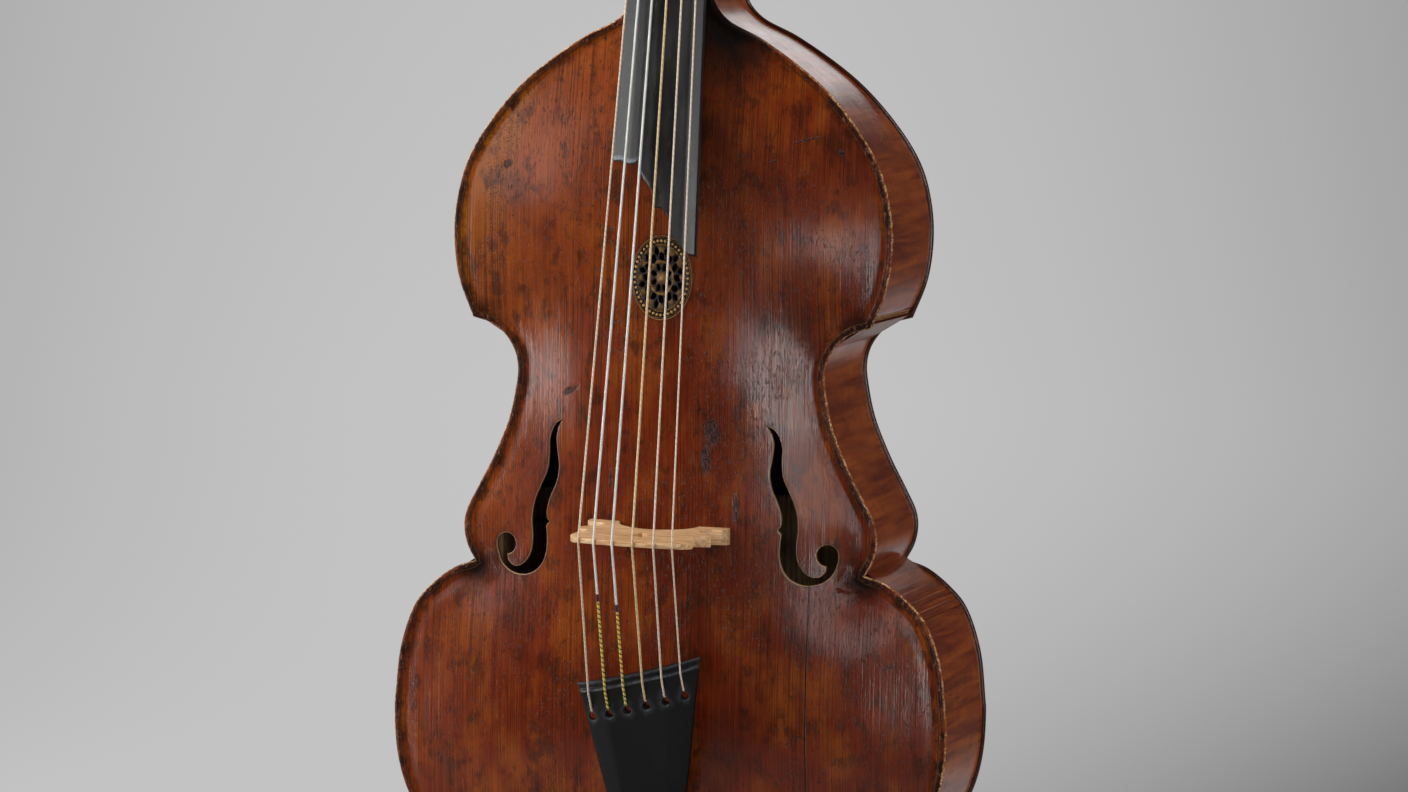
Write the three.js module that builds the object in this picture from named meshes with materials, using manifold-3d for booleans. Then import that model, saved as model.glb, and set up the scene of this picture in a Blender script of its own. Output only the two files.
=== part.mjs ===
// A six-string double bass of the violone kind: arched top with serpentine sound holes and a carved
// rosette, a flat back that slopes in towards the heel, and wooden friction pegs.
// Millimetres. +Z is up, the front faces -Y and the treble side is +X.
// The origin is the tip of the endpin, on the floor.
import * as THREE from 'three';
import { mergeVertices } from 'three/addons/utils/BufferGeometryUtils.js';
import Module from 'manifold-3d';

const wasm = await Module();
wasm.setup();

// ---- driving dimensions ----
const GAP = 0.3;                 // clearance between neighbouring pieces
const BRIDGE_Z = 595;            // height of the bridge line above the endpin tip
const BODY_BOTTOM = 150;         // lowest edge of the body
const BODY_TOP = 1217;           // where the shoulders meet the heel
const EDGE_FRONT = -98;          // outer face of the top plate along its edge
const RIB_FRONT = -92;
const RIB_BACK = 92;
const BACK_THICK = 5;
const BACK_BREAK_Z = 1000;       // the back slopes forwards above this height
const HEEL_BACK = 42;            // depth coordinate of the ribs' back edge at the heel
const OVERHANG = 4;              // plates stand proud of the ribs
const RIB_THICK = 2.5;
const LINING_WIDTH = 7;
const LINING_TALL = 22;
const ARCH_HEIGHT = 44;
const ARCH_REACH = 120;          // distance from the edge over which the arch rises
const STRING_AT_BRIDGE = 178;    // height of the string plane above the edge plane, at the bridge
const STRING_SLOPE = 0.205;      // the string plane falls this much per millimetre up the body
const STRING_LENGTH = 1080;      // nut to bridge
const NUT_SPACING = 12.4;
const BRIDGE_SLANT = 0.028;      // the bridge stands a little higher on the bass side
const BRIDGE_GROOVES = [-55.5, -36, -13, 11, 35, 55.5];
const TAIL_HOLES = [-55.4, -33.6, -11.5, 12, 35.3, 57.4];
const STRING_RADII = [1.25, 1.5, 1.5, 1.35, 1.2, 1.0];
const BOARD_NUT_HALF = 37;
const BOARD_END_HALF = 55;
const BOARD_END = 334;           // distance along the strings from the bridge to the board's treble end
const REST = 1.8;                // string centre to the wood that carries it
const BRIDGE_REST = 2.5;         // the same on the bridge, where the strings bend sharply
const NUT_THICK = 9;
const PEG_FIRST = 1112;          // distance along the strings from the bridge to the first peg
const PEG_STEP = 34;

// ---- half outline: [distance from the centre line, height above the bridge line] ----
const BOTTOM = BODY_BOTTOM - BRIDGE_Z;
const WIDEST = [335, -216];
const NOTCH = [236, -46];
const CORNER = [240.5, 240];
const LOWER_BOUT = [NOTCH, [262, -55], [290, -76], [309, -98], [327, -148], WIDEST];
const MIDDLE_BOUT = [CORNER, [219, 233.5], [203, 222.5], [190, 203.5], [185.3, 183], [187.5, 160],
  [196.3, 121], [216, 74], [235, 38], [247.5, 12], [250, -6], [246, -27], NOTCH];
const UPPER_BOUT = [CORNER, [258, 285], [264.5, 335], [261, 378], [247, 426], [218, 473],
  [175.5, 520], [109, 568], [67, 590], [53, 605], [46, BODY_TOP - BRIDGE_Z]];
const BOTTOM_POWER = 2.65;       // the bottom is this superellipse

// ---- sound hole, same coordinates: top tip, outer edge, round eye, hook and inner edge ----
const HOLE_OUTER = [[123, 126], [132, 120], [137.5, 110.6], [140.5, 98.8], [140.2, 84.7], [142, 66.4],
  [148.6, 51], [156, 34], [159.7, 19], [160.5, 3.6], [159, -13.4], [160.6, -28.8], [166.4, -40.5],
  [176, -47.9], [185.2, -48.2], [192, -42]];
const HOLE_INNER = [[206, -30], [200, -45], [191, -53.3], [179, -57.5], [166, -57.2], [153, -51],
  [144.5, -40], [140.5, -25], [140.8, -9], [141.5, 1], [138, 5.5], [141.4, 11], [141, 23],
  [137, 36], [130, 52], [127, 70], [129.5, 88], [131, 104], [129, 115]];
const EYE = [194, -23];
const EYE_RADIUS = 12.5;

const ROSETTE_Z = 294;
const ROSETTE_HALF = [35.5, 47.5];

// ---- small geometry helpers ----
const group = new THREE.Group();

function outward(geometry) {
  // turns the faces over if the closed surface encloses a negative volume
  const p = geometry.attributes.position;
  const index = geometry.index.array;
  const a = new THREE.Vector3();
  const b = new THREE.Vector3();
  const c = new THREE.Vector3();
  let volume = 0;
  for (let i = 0; i < index.length; i += 3) {
    a.fromBufferAttribute(p, index[i]);
    b.fromBufferAttribute(p, index[i + 1]);
    c.fromBufferAttribute(p, index[i + 2]);
    volume += a.dot(b.cross(c));
  }
  if (volume < 0) {
    for (let i = 0; i < index.length; i += 3) {
      [index[i + 1], index[i + 2]] = [index[i + 2], index[i + 1]];
    }
  }
  return geometry;
}

function solid(geometry) {
  let g = geometry.clone();
  g.deleteAttribute('normal');
  g.deleteAttribute('uv');
  g = outward(mergeVertices(g));
  return new wasm.Manifold(new wasm.Mesh({
    numProp: 3,
    vertProperties: new Float32Array(g.attributes.position.array),
    triVerts: new Uint32Array(g.index.array),
  }));
}

function geometryOf(manifold) {
  const mesh = manifold.getMesh();
  const g = new THREE.BufferGeometry();
  g.setAttribute('position', new THREE.BufferAttribute(new Float32Array(mesh.vertProperties), 3));
  g.setIndex(new THREE.BufferAttribute(new Uint32Array(mesh.triVerts), 1));
  g.computeVertexNormals();
  return g;
}

function add(name, manifold, look, parent = group) {
  const material = new THREE.MeshStandardMaterial(look);
  const mesh = new THREE.Mesh(geometryOf(manifold), material);
  mesh.name = name;
  parent.add(mesh);
}

const turn = (x, y, z) => new THREE.Matrix4().makeBasis(
  new THREE.Vector3(...x), new THREE.Vector3(...y), new THREE.Vector3(...z));
const PLAN_TO_FRONT = turn([1, 0, 0], [0, 0, 1], [0, -1, 0]);
const PLAN_TO_SIDE = turn([0, 1, 0], [0, 0, 1], [1, 0, 0]);

function shapeOf(points) {
  return new THREE.Shape(points.map(([x, y]) => new THREE.Vector2(x, y)));
}

// prism of [x, z] points between two depths
function frontPrism(points, yFront, yBack) {
  const g = new THREE.ExtrudeGeometry(shapeOf(points), { depth: yBack - yFront, bevelEnabled: false });
  return solid(g.applyMatrix4(PLAN_TO_FRONT).translate(0, yBack, 0));
}

// prism of [y, z] points across the width
function sidePrism(points, halfWidth) {
  const g = new THREE.ExtrudeGeometry(shapeOf(points), { depth: 2 * halfWidth, bevelEnabled: false });
  return solid(g.applyMatrix4(PLAN_TO_SIDE).translate(-halfWidth, 0, 0));
}

function block(x0, x1, y0, y1, z0, z1) {
  const g = new THREE.BoxGeometry(x1 - x0, y1 - y0, z1 - z0);
  return solid(g.translate((x0 + x1) / 2, (y0 + y1) / 2, (z0 + z1) / 2));
}

// closed surface through rings of equal point count, with flat ends
function loft(rings) {
  const count = rings[0].length;
  const points = rings.flat();
  const faces = [];
  for (let r = 0; r + 1 < rings.length; r += 1) {
    for (let i = 0; i < count; i += 1) {
      const a = r * count + i;
      const b = r * count + (i + 1) % count;
      faces.push(a, b, b + count, a, b + count, a + count);
    }
  }
  const last = (rings.length - 1) * count;
  for (let i = 1; i + 1 < count; i += 1) {
    faces.push(0, i + 1, i, last, last + i, last + i + 1);
  }
  const g = new THREE.BufferGeometry();
  g.setAttribute('position', new THREE.Float32BufferAttribute(points.flat(), 3));
  g.setIndex(faces);
  return solid(g);
}

// turned piece: [radius, height] points, about +Z
function turned(profile, segments) {
  const g = new THREE.LatheGeometry(profile.map(([r, h]) => new THREE.Vector2(r, h)), segments);
  return solid(g.rotateX(Math.PI / 2));
}

// a path that passes exactly through its points, so a swept string keeps its bends
class StringPath extends THREE.Curve {
  constructor(points) {
    super();
    this.points = points;
  }

  getPoint(t, target = new THREE.Vector3()) {
    const at = Math.min(Math.max(t, 0), 1) * (this.points.length - 1);
    const i = Math.min(Math.floor(at), this.points.length - 2);
    return target.lerpVectors(this.points[i], this.points[i + 1], at - i);
  }

  getPointAt(u, target) {
    return this.getPoint(u, target);
  }

  getTangentAt(u, target) {
    return this.getTangent(u, target);
  }
}

function cordAlong(points, radius, sides = 8) {
  const ring = [];
  for (let i = 0; i < sides; i += 1) {
    const a = (i / sides) * 2 * Math.PI;
    ring.push([radius * Math.cos(a), radius * Math.sin(a)]);
  }
  const path = new StringPath(points);
  return solid(new THREE.ExtrudeGeometry(shapeOf(ring), {
    extrudePath: path, steps: points.length - 1, bevelEnabled: false,
  }));
}

function curveThrough(points, pieces) {
  const curve = new THREE.CatmullRomCurve3(
    points.map(([x, z]) => new THREE.Vector3(x, 0, z)), false, 'centripetal');
  return curve.getPoints(pieces).map((p) => [p.x, p.z]);
}

const mirrored = (points) => points.map(([x, z]) => [-x, z]).reverse();
const raised = (points) => points.map(([x, z]) => [x, z + BRIDGE_Z]);

// ---- body outline and arch ----
function bodyOutline(fineness) {
  const bottom = [];
  const steps = 10 * fineness;
  for (let i = 0; i < steps; i += 1) {
    const t = (1 - i / steps) * Math.PI / 2;
    bottom.push([WIDEST[0] * Math.cos(t) ** (2 / BOTTOM_POWER),
      WIDEST[1] - (WIDEST[1] - BOTTOM) * Math.sin(t) ** (2 / BOTTOM_POWER)]);
  }
  const lower = curveThrough(LOWER_BOUT, 8 * fineness).reverse().slice(0, -1);
  const middle = curveThrough(MIDDLE_BOUT, 18 * fineness).reverse().slice(0, -1);
  const upper = curveThrough(UPPER_BOUT, 15 * fineness);
  const right = raised([...bottom, ...lower, ...middle, ...upper]);
  return [...right, ...mirrored(right).slice(0, -1)];
}

function segmentDistance([px, pz], [ax, az], [bx, bz]) {
  const dx = bx - ax;
  const dz = bz - az;
  const t = Math.min(1, Math.max(0, ((px - ax) * dx + (pz - az) * dz) / (dx * dx + dz * dz)));
  return Math.hypot(px - ax - t * dx, pz - az - t * dz);
}

// outline moved inwards; points that fold over at a corner are dropped
function inset(outline, distance) {
  const n = outline.length;
  const normal = (a, b) => {
    const length = Math.hypot(b[0] - a[0], b[1] - a[1]);
    return [-(b[1] - a[1]) / length, (b[0] - a[0]) / length];
  };
  const moved = outline.map((p, i) => {
    const before = normal(outline[(i + n - 1) % n], p);
    const after = normal(p, outline[(i + 1) % n]);
    const k = distance / (1 + before[0] * after[0] + before[1] * after[1]);
    return [p[0] + (before[0] + after[0]) * k, p[1] + (before[1] + after[1]) * k];
  });
  return moved.filter((p) => outline.every(
    (a, i) => segmentDistance(p, a, outline[(i + 1) % n]) > distance - 0.05));
}

const OUTLINE = bodyOutline(1);
const FINE_OUTLINE = bodyOutline(4);

function inside(x, z) {
  let odd = false;
  FINE_OUTLINE.forEach(([ax, az], i) => {
    const [bx, bz] = FINE_OUTLINE[(i + 1) % FINE_OUTLINE.length];
    if ((az > z) !== (bz > z) && x < ax + ((z - az) / (bz - az)) * (bx - ax)) {
      odd = !odd;
    }
  });
  return odd;
}

// a rounded measure of the distance to the edge, with no ridge along the middle
function edgeDistance(x, z) {
  let sum = 0;
  FINE_OUTLINE.forEach(([ax, az], i) => {
    const [bx, bz] = FINE_OUTLINE[(i + 1) % FINE_OUTLINE.length];
    const square = ((ax + bx) / 2 - x) ** 2 + ((az + bz) / 2 - z) ** 2 + 1;
    sum += Math.hypot(bx - ax, bz - az) / (square * square);
  });
  return (2 * sum / Math.PI) ** (-1 / 3);
}

function arch(x, z) {
  if (!inside(x, z)) {
    return 0;
  }
  const waist = 1 - 0.29 * Math.exp(-(((z - BRIDGE_Z - 170) / 75) ** 2));
  return ARCH_HEIGHT * (1 - Math.exp(-((edgeDistance(x, z) / (ARCH_REACH * waist)) ** 1.6)));
}

// heights of the arch on one shared grid, so that every piece cut to it follows the same facets
const GRID_X = 15;
const GRID_Z = 24;
const GRID_WIDTH = 2 * WIDEST[0] + 20;
const GRID_HEIGHT = BODY_TOP - BODY_BOTTOM + 20;
const archOnGrid = new Map();

function archSlab(frontOffset, backOffset, flatFront = null, flatBack = null) {
  const g = new THREE.BoxGeometry(GRID_WIDTH, 1, GRID_HEIGHT, GRID_X, 1, GRID_Z);
  g.translate(0, 0, (BODY_TOP + BODY_BOTTOM) / 2);
  const p = g.attributes.position;
  for (let i = 0; i < p.count; i += 1) {
    const key = `${p.getX(i).toFixed(2)},${p.getZ(i).toFixed(2)}`;
    if (!archOnGrid.has(key)) {
      archOnGrid.set(key, arch(p.getX(i), p.getZ(i)));
    }
    const h = archOnGrid.get(key);
    const front = flatFront ?? EDGE_FRONT - h + frontOffset;
    const back = flatBack ?? RIB_FRONT - h + backOffset;
    p.setY(i, p.getY(i) < 0 ? front : back);
  }
  return solid(g);
}

// ---- looks ----
const VARNISH = { color: '#6e2d12', roughness: 0.35, metalness: 0 };
const MAPLE_VARNISH = { color: '#7a3312', roughness: 0.3, metalness: 0 };
const RAW_SPRUCE = { color: '#c79b62', roughness: 0.8, metalness: 0 };
const EBONY = { color: '#1b1a1b', roughness: 0.4, metalness: 0 };
const PALE_MAPLE = { color: '#d9ab78', roughness: 0.6, metalness: 0 };
const GUT = { color: '#c9a15c', roughness: 0.45, metalness: 0 };
const SILVER = { color: '#b9b4ae', roughness: 0.3, metalness: 0.8 };
const STEEL = { color: '#9a9a9c', roughness: 0.3, metalness: 1 };
const BRASS = { color: '#b08d45', roughness: 0.35, metalness: 1 };
const RUBBER = { color: '#202022', roughness: 0.8, metalness: 0 };
const GILDED = { color: '#7a5a26', roughness: 0.5, metalness: 0.3 };

// ---- side profile of the space between the plates ----
const backSlope = (RIB_BACK - HEEL_BACK) / (BODY_TOP - BACK_BREAK_Z);
const backAt = (z) => RIB_BACK - Math.max(0, z - BACK_BREAK_Z) * backSlope;
function profile(front, backOffset) {
  const top = BODY_TOP + 60;
  return [[front, 100], [RIB_BACK + backOffset, 100], [RIB_BACK + backOffset, BACK_BREAK_Z],
    [backAt(top) + backOffset, top], [front, top]];
}
const betweenPlates = sidePrism(profile(RIB_FRONT + GAP, -GAP), 400);
const OUT = 500;

// ---- regions of the outline, one loop each ----
const ringOutside = inset(OUTLINE, OVERHANG);
const ringInside = inset(OUTLINE, OVERHANG + RIB_THICK);
const glueLine = inset(OUTLINE, OVERHANG + RIB_THICK + GAP);
const liningInside = inset(OUTLINE, OVERHANG + RIB_THICK + GAP + LINING_WIDTH);
const openInside = inset(OUTLINE, OVERHANG + RIB_THICK + 2 * GAP + LINING_WIDTH);

const cornerCut = [[CORNER[0] - 45, CORNER[1] + 40], [CORNER[0] + 45, CORNER[1] - 40]];
const notchCut = [[NOTCH[0] - 57, NOTCH[1] - 18], [NOTCH[0] + 57, NOTCH[1] + 18]];
const shifted = (points, dz) => points.map(([x, z]) => [x, z + dz]);
const HALF = GAP / 2;

function sectorOf(bout) {
  const high = shifted(cornerCut, bout === 'upper' ? HALF : -HALF);
  const low = shifted(notchCut, bout === 'lower' ? -HALF : HALF);
  const ends = {
    upper: [[HALF, high[0][1]], ...high, [OUT, high[1][1]], [OUT, 800], [HALF, 800]],
    waist: [[HALF, low[0][1]], ...low, [OUT, low[1][1]], [OUT, high[1][1]], high[1], high[0],
      [HALF, high[0][1]]],
    lower: [[HALF, -OUT], [OUT, -OUT], [OUT, low[1][1]], low[1], low[0], [HALF, low[0][1]]],
  };
  return raised(ends[bout]);
}

const onSide = (points, side) => (side > 0 ? points : mirrored(points));
const SIDES = [['bass', -1], ['treble', 1]];

// ---- blocks ----
const cornerBox = (side, grow) => onSide(raised([
  [202 - grow, 222 - grow], [262, 222 - grow], [262, 292 + grow], [202 - grow, 292 + grow]]), side);
const notchBox = (side, grow) => onSide(raised([
  [203 - grow, -84 - grow], [272, -84 - grow], [272, -14 + grow], [203 - grow, -14 + grow]]), side);
const NECK_BLOCK = [70, 1150];
const END_BLOCK = [60, 202];
const gluePrism = frontPrism(glueLine, -150, 150).intersect(betweenPlates);
const collarRadius = 13;
const collarHole = turned(
  [[0, 100], [collarRadius + GAP, 100], [collarRadius + GAP, 230], [0, 230]], 24);
const TENON = { half: 22, front: -80, back: 15, bottom: 1188 };
const tenonPocket = block(-TENON.half - GAP, TENON.half + GAP, TENON.front - GAP, TENON.back + GAP,
  TENON.bottom - GAP, BODY_TOP + 50);

add('neck_block', gluePrism
  .intersect(block(-NECK_BLOCK[0], NECK_BLOCK[0], -150, 150, NECK_BLOCK[1], 1300))
  .subtract(tenonPocket), RAW_SPRUCE);
add('end_block', gluePrism
  .intersect(block(-END_BLOCK[0], END_BLOCK[0], -150, 150, 100, END_BLOCK[1]))
  .subtract(collarHole), RAW_SPRUCE);
const blockSpaces = [
  block(-NECK_BLOCK[0] - GAP, NECK_BLOCK[0] + GAP, -150, 150, NECK_BLOCK[1] - GAP, 1300),
  block(-END_BLOCK[0] - GAP, END_BLOCK[0] + GAP, -150, 150, 100, END_BLOCK[1] + GAP),
];
for (const [name, side] of SIDES) {
  add(`corner_block_upper_${name}`, gluePrism.intersect(frontPrism(cornerBox(side, 0), -150, 150)),
    RAW_SPRUCE);
  add(`corner_block_lower_${name}`, gluePrism.intersect(frontPrism(notchBox(side, 0), -150, 150)),
    RAW_SPRUCE);
  blockSpaces.push(frontPrism(cornerBox(side, GAP), -150, 150), frontPrism(notchBox(side, GAP), -150, 150));
}
const allBlocks = wasm.Manifold.union(blockSpaces);

// ---- ribs and linings ----
const ribRing = frontPrism(ringOutside, -150, 150).subtract(frontPrism(ringInside, -160, 160))
  .intersect(betweenPlates).subtract(tenonPocket).subtract(collarHole);
const liningRing = frontPrism(glueLine, -150, 150).subtract(frontPrism(liningInside, -160, 160))
  .subtract(allBlocks);
const frontLinings = liningRing.intersect(
  block(-OUT, OUT, RIB_FRONT + GAP, RIB_FRONT + LINING_TALL, 0, 1500));
const backLinings = liningRing.intersect(sidePrism(profile(0, -GAP), 400))
  .subtract(sidePrism(profile(-50, -LINING_TALL), 400));
for (const [name, side] of SIDES) {
  for (const bout of ['upper', 'waist', 'lower']) {
    const sector = frontPrism(onSide(sectorOf(bout), side), -170, 170);
    add(`rib_${bout}_${name}`, ribRing.intersect(sector), MAPLE_VARNISH);
    add(`front_lining_${bout}_${name}`, frontLinings.intersect(sector), RAW_SPRUCE);
    if (bout !== 'waist') {
      add(`back_lining_${bout}_${name}`, backLinings.intersect(sector), RAW_SPRUCE);
    }
  }
}

// ---- top plate, its holes and the rosette ----
function soundHole() {
  const outer = curveThrough(HOLE_OUTER, 22);
  const eye = [];
  for (let i = 0; i <= 12; i += 1) {
    const a = (-95 - i * 22) * Math.PI / 180;
    eye.push([EYE[0] + EYE_RADIUS * Math.cos(a), EYE[1] + EYE_RADIUS * Math.sin(a)]);
  }
  return raised([...outer, ...eye, ...curveThrough(HOLE_INNER, 26)]);
}

function oval(halfWidth, halfHeight, count) {
  const points = [];
  for (let i = 0; i < count; i += 1) {
    const a = (i / count) * 2 * Math.PI;
    points.push([halfWidth * Math.cos(a), BRIDGE_Z + ROSETTE_Z + halfHeight * Math.sin(a)]);
  }
  return points;
}

const SADDLE = { half: 35, front: -106, back: RIB_FRONT - GAP, bottom: 150, top: 163 };
const topPlate = archSlab(0, 0)
  .intersect(frontPrism(OUTLINE, -200, 0))
  .subtract(frontPrism(soundHole(), -200, 0))
  .subtract(frontPrism(mirrored(soundHole()), -200, 0))
  .subtract(frontPrism(oval(ROSETTE_HALF[0] + GAP, ROSETTE_HALF[1] + GAP, 28), -200, 0))
  .subtract(block(-SADDLE.half - GAP, SADDLE.half + GAP, -150, 0, 100, SADDLE.top + GAP));
add('top_plate', topPlate, VARNISH);

function rosette() {
  const spokes = 8;
  let disc = archSlab(1, -1).intersect(frontPrism(oval(ROSETTE_HALF[0], ROSETTE_HALF[1], 28), -200, 0));
  for (let i = 0; i < spokes; i += 1) {
    const hole = [];
    for (const [r, da] of [[0.35, -0.18], [0.35, 0.18], [0.8, 0.28], [0.8, -0.28]]) {
      const a = ((i + 0.5) / spokes) * 2 * Math.PI + da;
      hole.push([ROSETTE_HALF[0] * r * Math.cos(a),
        BRIDGE_Z + ROSETTE_Z + ROSETTE_HALF[1] * r * Math.sin(a)]);
    }
    disc = disc.subtract(frontPrism(hole, -200, 0));
  }
  return disc;
}
add('rosette', rosette(), GILDED);

// ---- back plate, braces, bass bar and sound post ----
const BUTTON = { half: 30, top: 1250 };
const buttonRing = [];
for (let i = 0; i <= 8; i += 1) {
  const a = (i / 8) * Math.PI;
  buttonRing.push([BUTTON.half * Math.cos(a), BODY_TOP + (BUTTON.top - BODY_TOP) * Math.sin(a)]);
}
const backOutline = frontPrism(OUTLINE, -150, 150)
  .add(frontPrism([...buttonRing, [-BUTTON.half, BODY_TOP - 20], [BUTTON.half, BODY_TOP - 20]], -150, 150));
const backSlab = sidePrism(profile(-150, GAP + BACK_THICK), 400).subtract(sidePrism(profile(-160, GAP), 410));
add('back_plate', backOutline.intersect(backSlab), MAPLE_VARNISH);

const insideLinings = frontPrism(openInside, -150, 150);
const BRACES = [['upper', 300, 22, 20], ['sound_post', -30, 110, 9], ['lower', -250, 22, 20]];
for (const [name, z, tall, deep] of BRACES) {
  const z0 = BRIDGE_Z + z - tall / 2;
  add(`back_brace_${name}`, insideLinings.intersect(
    block(-OUT, OUT, RIB_BACK - GAP - deep, RIB_BACK - GAP, z0, z0 + tall))
    .subtract(allBlocks), RAW_SPRUCE);
}

const overTop = archSlab(0, GAP, -300);
const BAR = { x: -60, half: 9, bottom: -310, top: 300, depth: 24 };
function bassBar() {
  const front = [];
  const back = [];
  for (let i = 0; i <= 12; i += 1) {
    const t = i / 12;
    const z = BRIDGE_Z + BAR.bottom + t * (BAR.top - BAR.bottom);
    const h = arch(BAR.x, z);
    front.push([RIB_FRONT - h - 3, z]);
    back.push([RIB_FRONT - h + 6 + BAR.depth * Math.sin(Math.PI * t), z]);
  }
  return sidePrism([...front, ...back.reverse()], BAR.half).translate([BAR.x, 0, 0]).subtract(overTop);
}
add('bass_bar', bassBar(), RAW_SPRUCE);

const POST = { x: 66, z: -28, radius: 9 };
const postFront = RIB_FRONT - arch(POST.x, BRIDGE_Z + POST.z) - 3;
const postBack = RIB_BACK - 2 * GAP - 9;
add('sound_post', turned([[0, postFront], [POST.radius, postFront], [POST.radius, postBack], [0, postBack]], 16)
  .rotate([-90, 0, 0]).translate([POST.x, 0, BRIDGE_Z + POST.z]).subtract(overTop), RAW_SPRUCE);

// ---- saddle ----
add('saddle', block(-SADDLE.half, SADDLE.half, SADDLE.front, SADDLE.back, SADDLE.bottom, SADDLE.top), EBONY);

// ---- frame of the strings: z runs up the strings from the bridge, y goes behind them ----
const stringGroup = new THREE.Group();
stringGroup.position.set(0, EDGE_FRONT - STRING_AT_BRIDGE, BRIDGE_Z);
stringGroup.rotation.x = -Math.atan(STRING_SLOPE);
stringGroup.updateMatrixWorld();
group.add(stringGroup);
const onStrings = (x, y, z) => new THREE.Vector3(x, y, z).applyMatrix4(stringGroup.matrixWorld);

const alongBoard = (z) => (STRING_LENGTH - z) / (STRING_LENGTH - BOARD_END);
const boardHalf = (z) => BOARD_NUT_HALF + (BOARD_END_HALF - BOARD_NUT_HALF) * alongBoard(z);
const boardCrown = (z) => 1.5 + 9.5 * alongBoard(z);
const boardUnder = (z) => boardCrown(z) + 24 * boardHalf(z) / BOARD_END_HALF;

// board section at its wide end: flat bass facet, rounded crown, narrow treble facet
const BOARD_SECTION = [[-54, 24], [-55, 14.5], [-26, 4.2], [-13, 1.1], [0, 0], [14, 0.6], [28, 2.6],
  [41, 6.2], [55, 13.5], [54, 24]];
function boardRing(z) {
  const k = boardHalf(z) / BOARD_END_HALF;
  return BOARD_SECTION.map(([x, y]) => [x * k, boardCrown(z) + y * k, z]);
}
// the end is stepped: longer under the treble strings, [x, distance from the bridge]
const BOARD_STEPS = [[-80, 200], [-80, 443], [-39, 443], [-33, 439.5], [-27, 438.5], [-21, 439.5],
  [-16.5, 442], [-15, 432], [-9, 421], [-3, 414], [2, 407], [4, 399], [5, 389], [15, 388], [22, 380],
  [25, 370], [28, 356], [36, 347], [48, 336], [80, 334], [80, 200]];
function fingerboard() {
  const cutter = frontPrism(BOARD_STEPS, -50, 80);
  return loft([boardRing(BOARD_END), boardRing(STRING_LENGTH - NUT_THICK - GAP)]).subtract(cutter);
}
add('fingerboard', fingerboard(), EBONY, stringGroup);

const nutString = (x) => 3 * (x / 31) ** 2;
function nut() {
  const points = [];
  for (let i = 0; i <= 8; i += 1) {
    const x = -36 + 9 * i;
    points.push([x, nutString(x) + REST]);
  }
  const under = boardUnder(STRING_LENGTH);
  const shape = shapeOf([...points, [36, under], [-36, under]]);
  return solid(new THREE.ExtrudeGeometry(shape, { depth: NUT_THICK, bevelEnabled: false }))
    .translate([0, 0, STRING_LENGTH - NUT_THICK]);
}
add('nut', nut(), EBONY, stringGroup);

// ---- neck with its heel, in horizontal sections ----
const HEAD_START = STRING_LENGTH + 7.7;
const HEEL_PLAIN = 31;           // the heel keeps the body's depth this far up, behind the button
const HEEL_CURVE = 116;          // and sweeps into the neck over this height
function neck() {
  const low = onStrings(0, boardUnder(600) + GAP, 600);
  const high = onStrings(0, boardUnder(1100) + GAP, 1100);
  const top = BODY_TOP + 470;
  const rings = [];
  const heights = [0, 15, HEEL_PLAIN, 42, 56, 74, 96, 124, 150, 240, 470];
  for (const dz of heights) {
    const z = BODY_TOP + GAP + dz;
    const t = (z - low.z) / (high.z - low.z);
    const front = low.y + (high.y - low.y) * t;
    const half = 46 - 10 * (z - BODY_TOP) / (top - BODY_TOP);
    const heel = Math.min(1, Math.max(0, 1 - (dz - HEEL_PLAIN) / HEEL_CURVE)) ** 2.2;
    const shaft = 27;
    const back = front + shaft + (HEEL_BACK - GAP - front - shaft - dz * backSlope) * heel;
    const ring = [[-half, front, z]];
    for (let i = 0; i <= 10; i += 1) {
      const a = (i / 10) * Math.PI;
      const x = -half * Math.cos(a) * (1 - 0.25 * heel * Math.sin(a) ** 2);
      ring.push([x, front + 5 + (back - front - 5) * Math.sin(a) ** 0.8, z]);
    }
    ring.push([half, front, z]);
    rings.push(ring);
  }
  const headSpace = block(-200, 200, -200, 200, HEAD_START, HEAD_START + 300)
    .transform(stringGroup.matrixWorld.toArray());
  const tenon = block(-TENON.half, TENON.half, TENON.front, TENON.back, TENON.bottom, BODY_TOP + 5);
  return loft(rings).subtract(headSpace).add(tenon);
}
add('neck', neck(), MAPLE_VARNISH);

// ---- head: pegbox and scroll, in the frame of the strings ----
const PEGS = [0, 1, 2, 3, 4, 5];
const pegZ = (k) => PEG_FIRST + PEG_STEP * k;
const pegY = (k) => 31 - 1.2 * k;
const pegSide = (k) => (k % 2 === 0 ? -1 : 1);
const boxRing = (half, y0, y1, z) => {
  const c = 5;
  return [[-half, y0, z], [-half, y1 - c, z], [-half + c, y1, z], [half - c, y1, z], [half, y1 - c, z],
    [half, y0, z]];
};
const PEG_RADIUS = [5.4, 7];     // narrow end, wide end
const pegTaper = (grow) => turned([[0, -62], [PEG_RADIUS[0] + grow, -62], [PEG_RADIUS[1] + grow, 62], [0, 62]], 12);
const alongX = (manifold, side) => manifold.rotate([0, side * 90, 0]);

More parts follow.
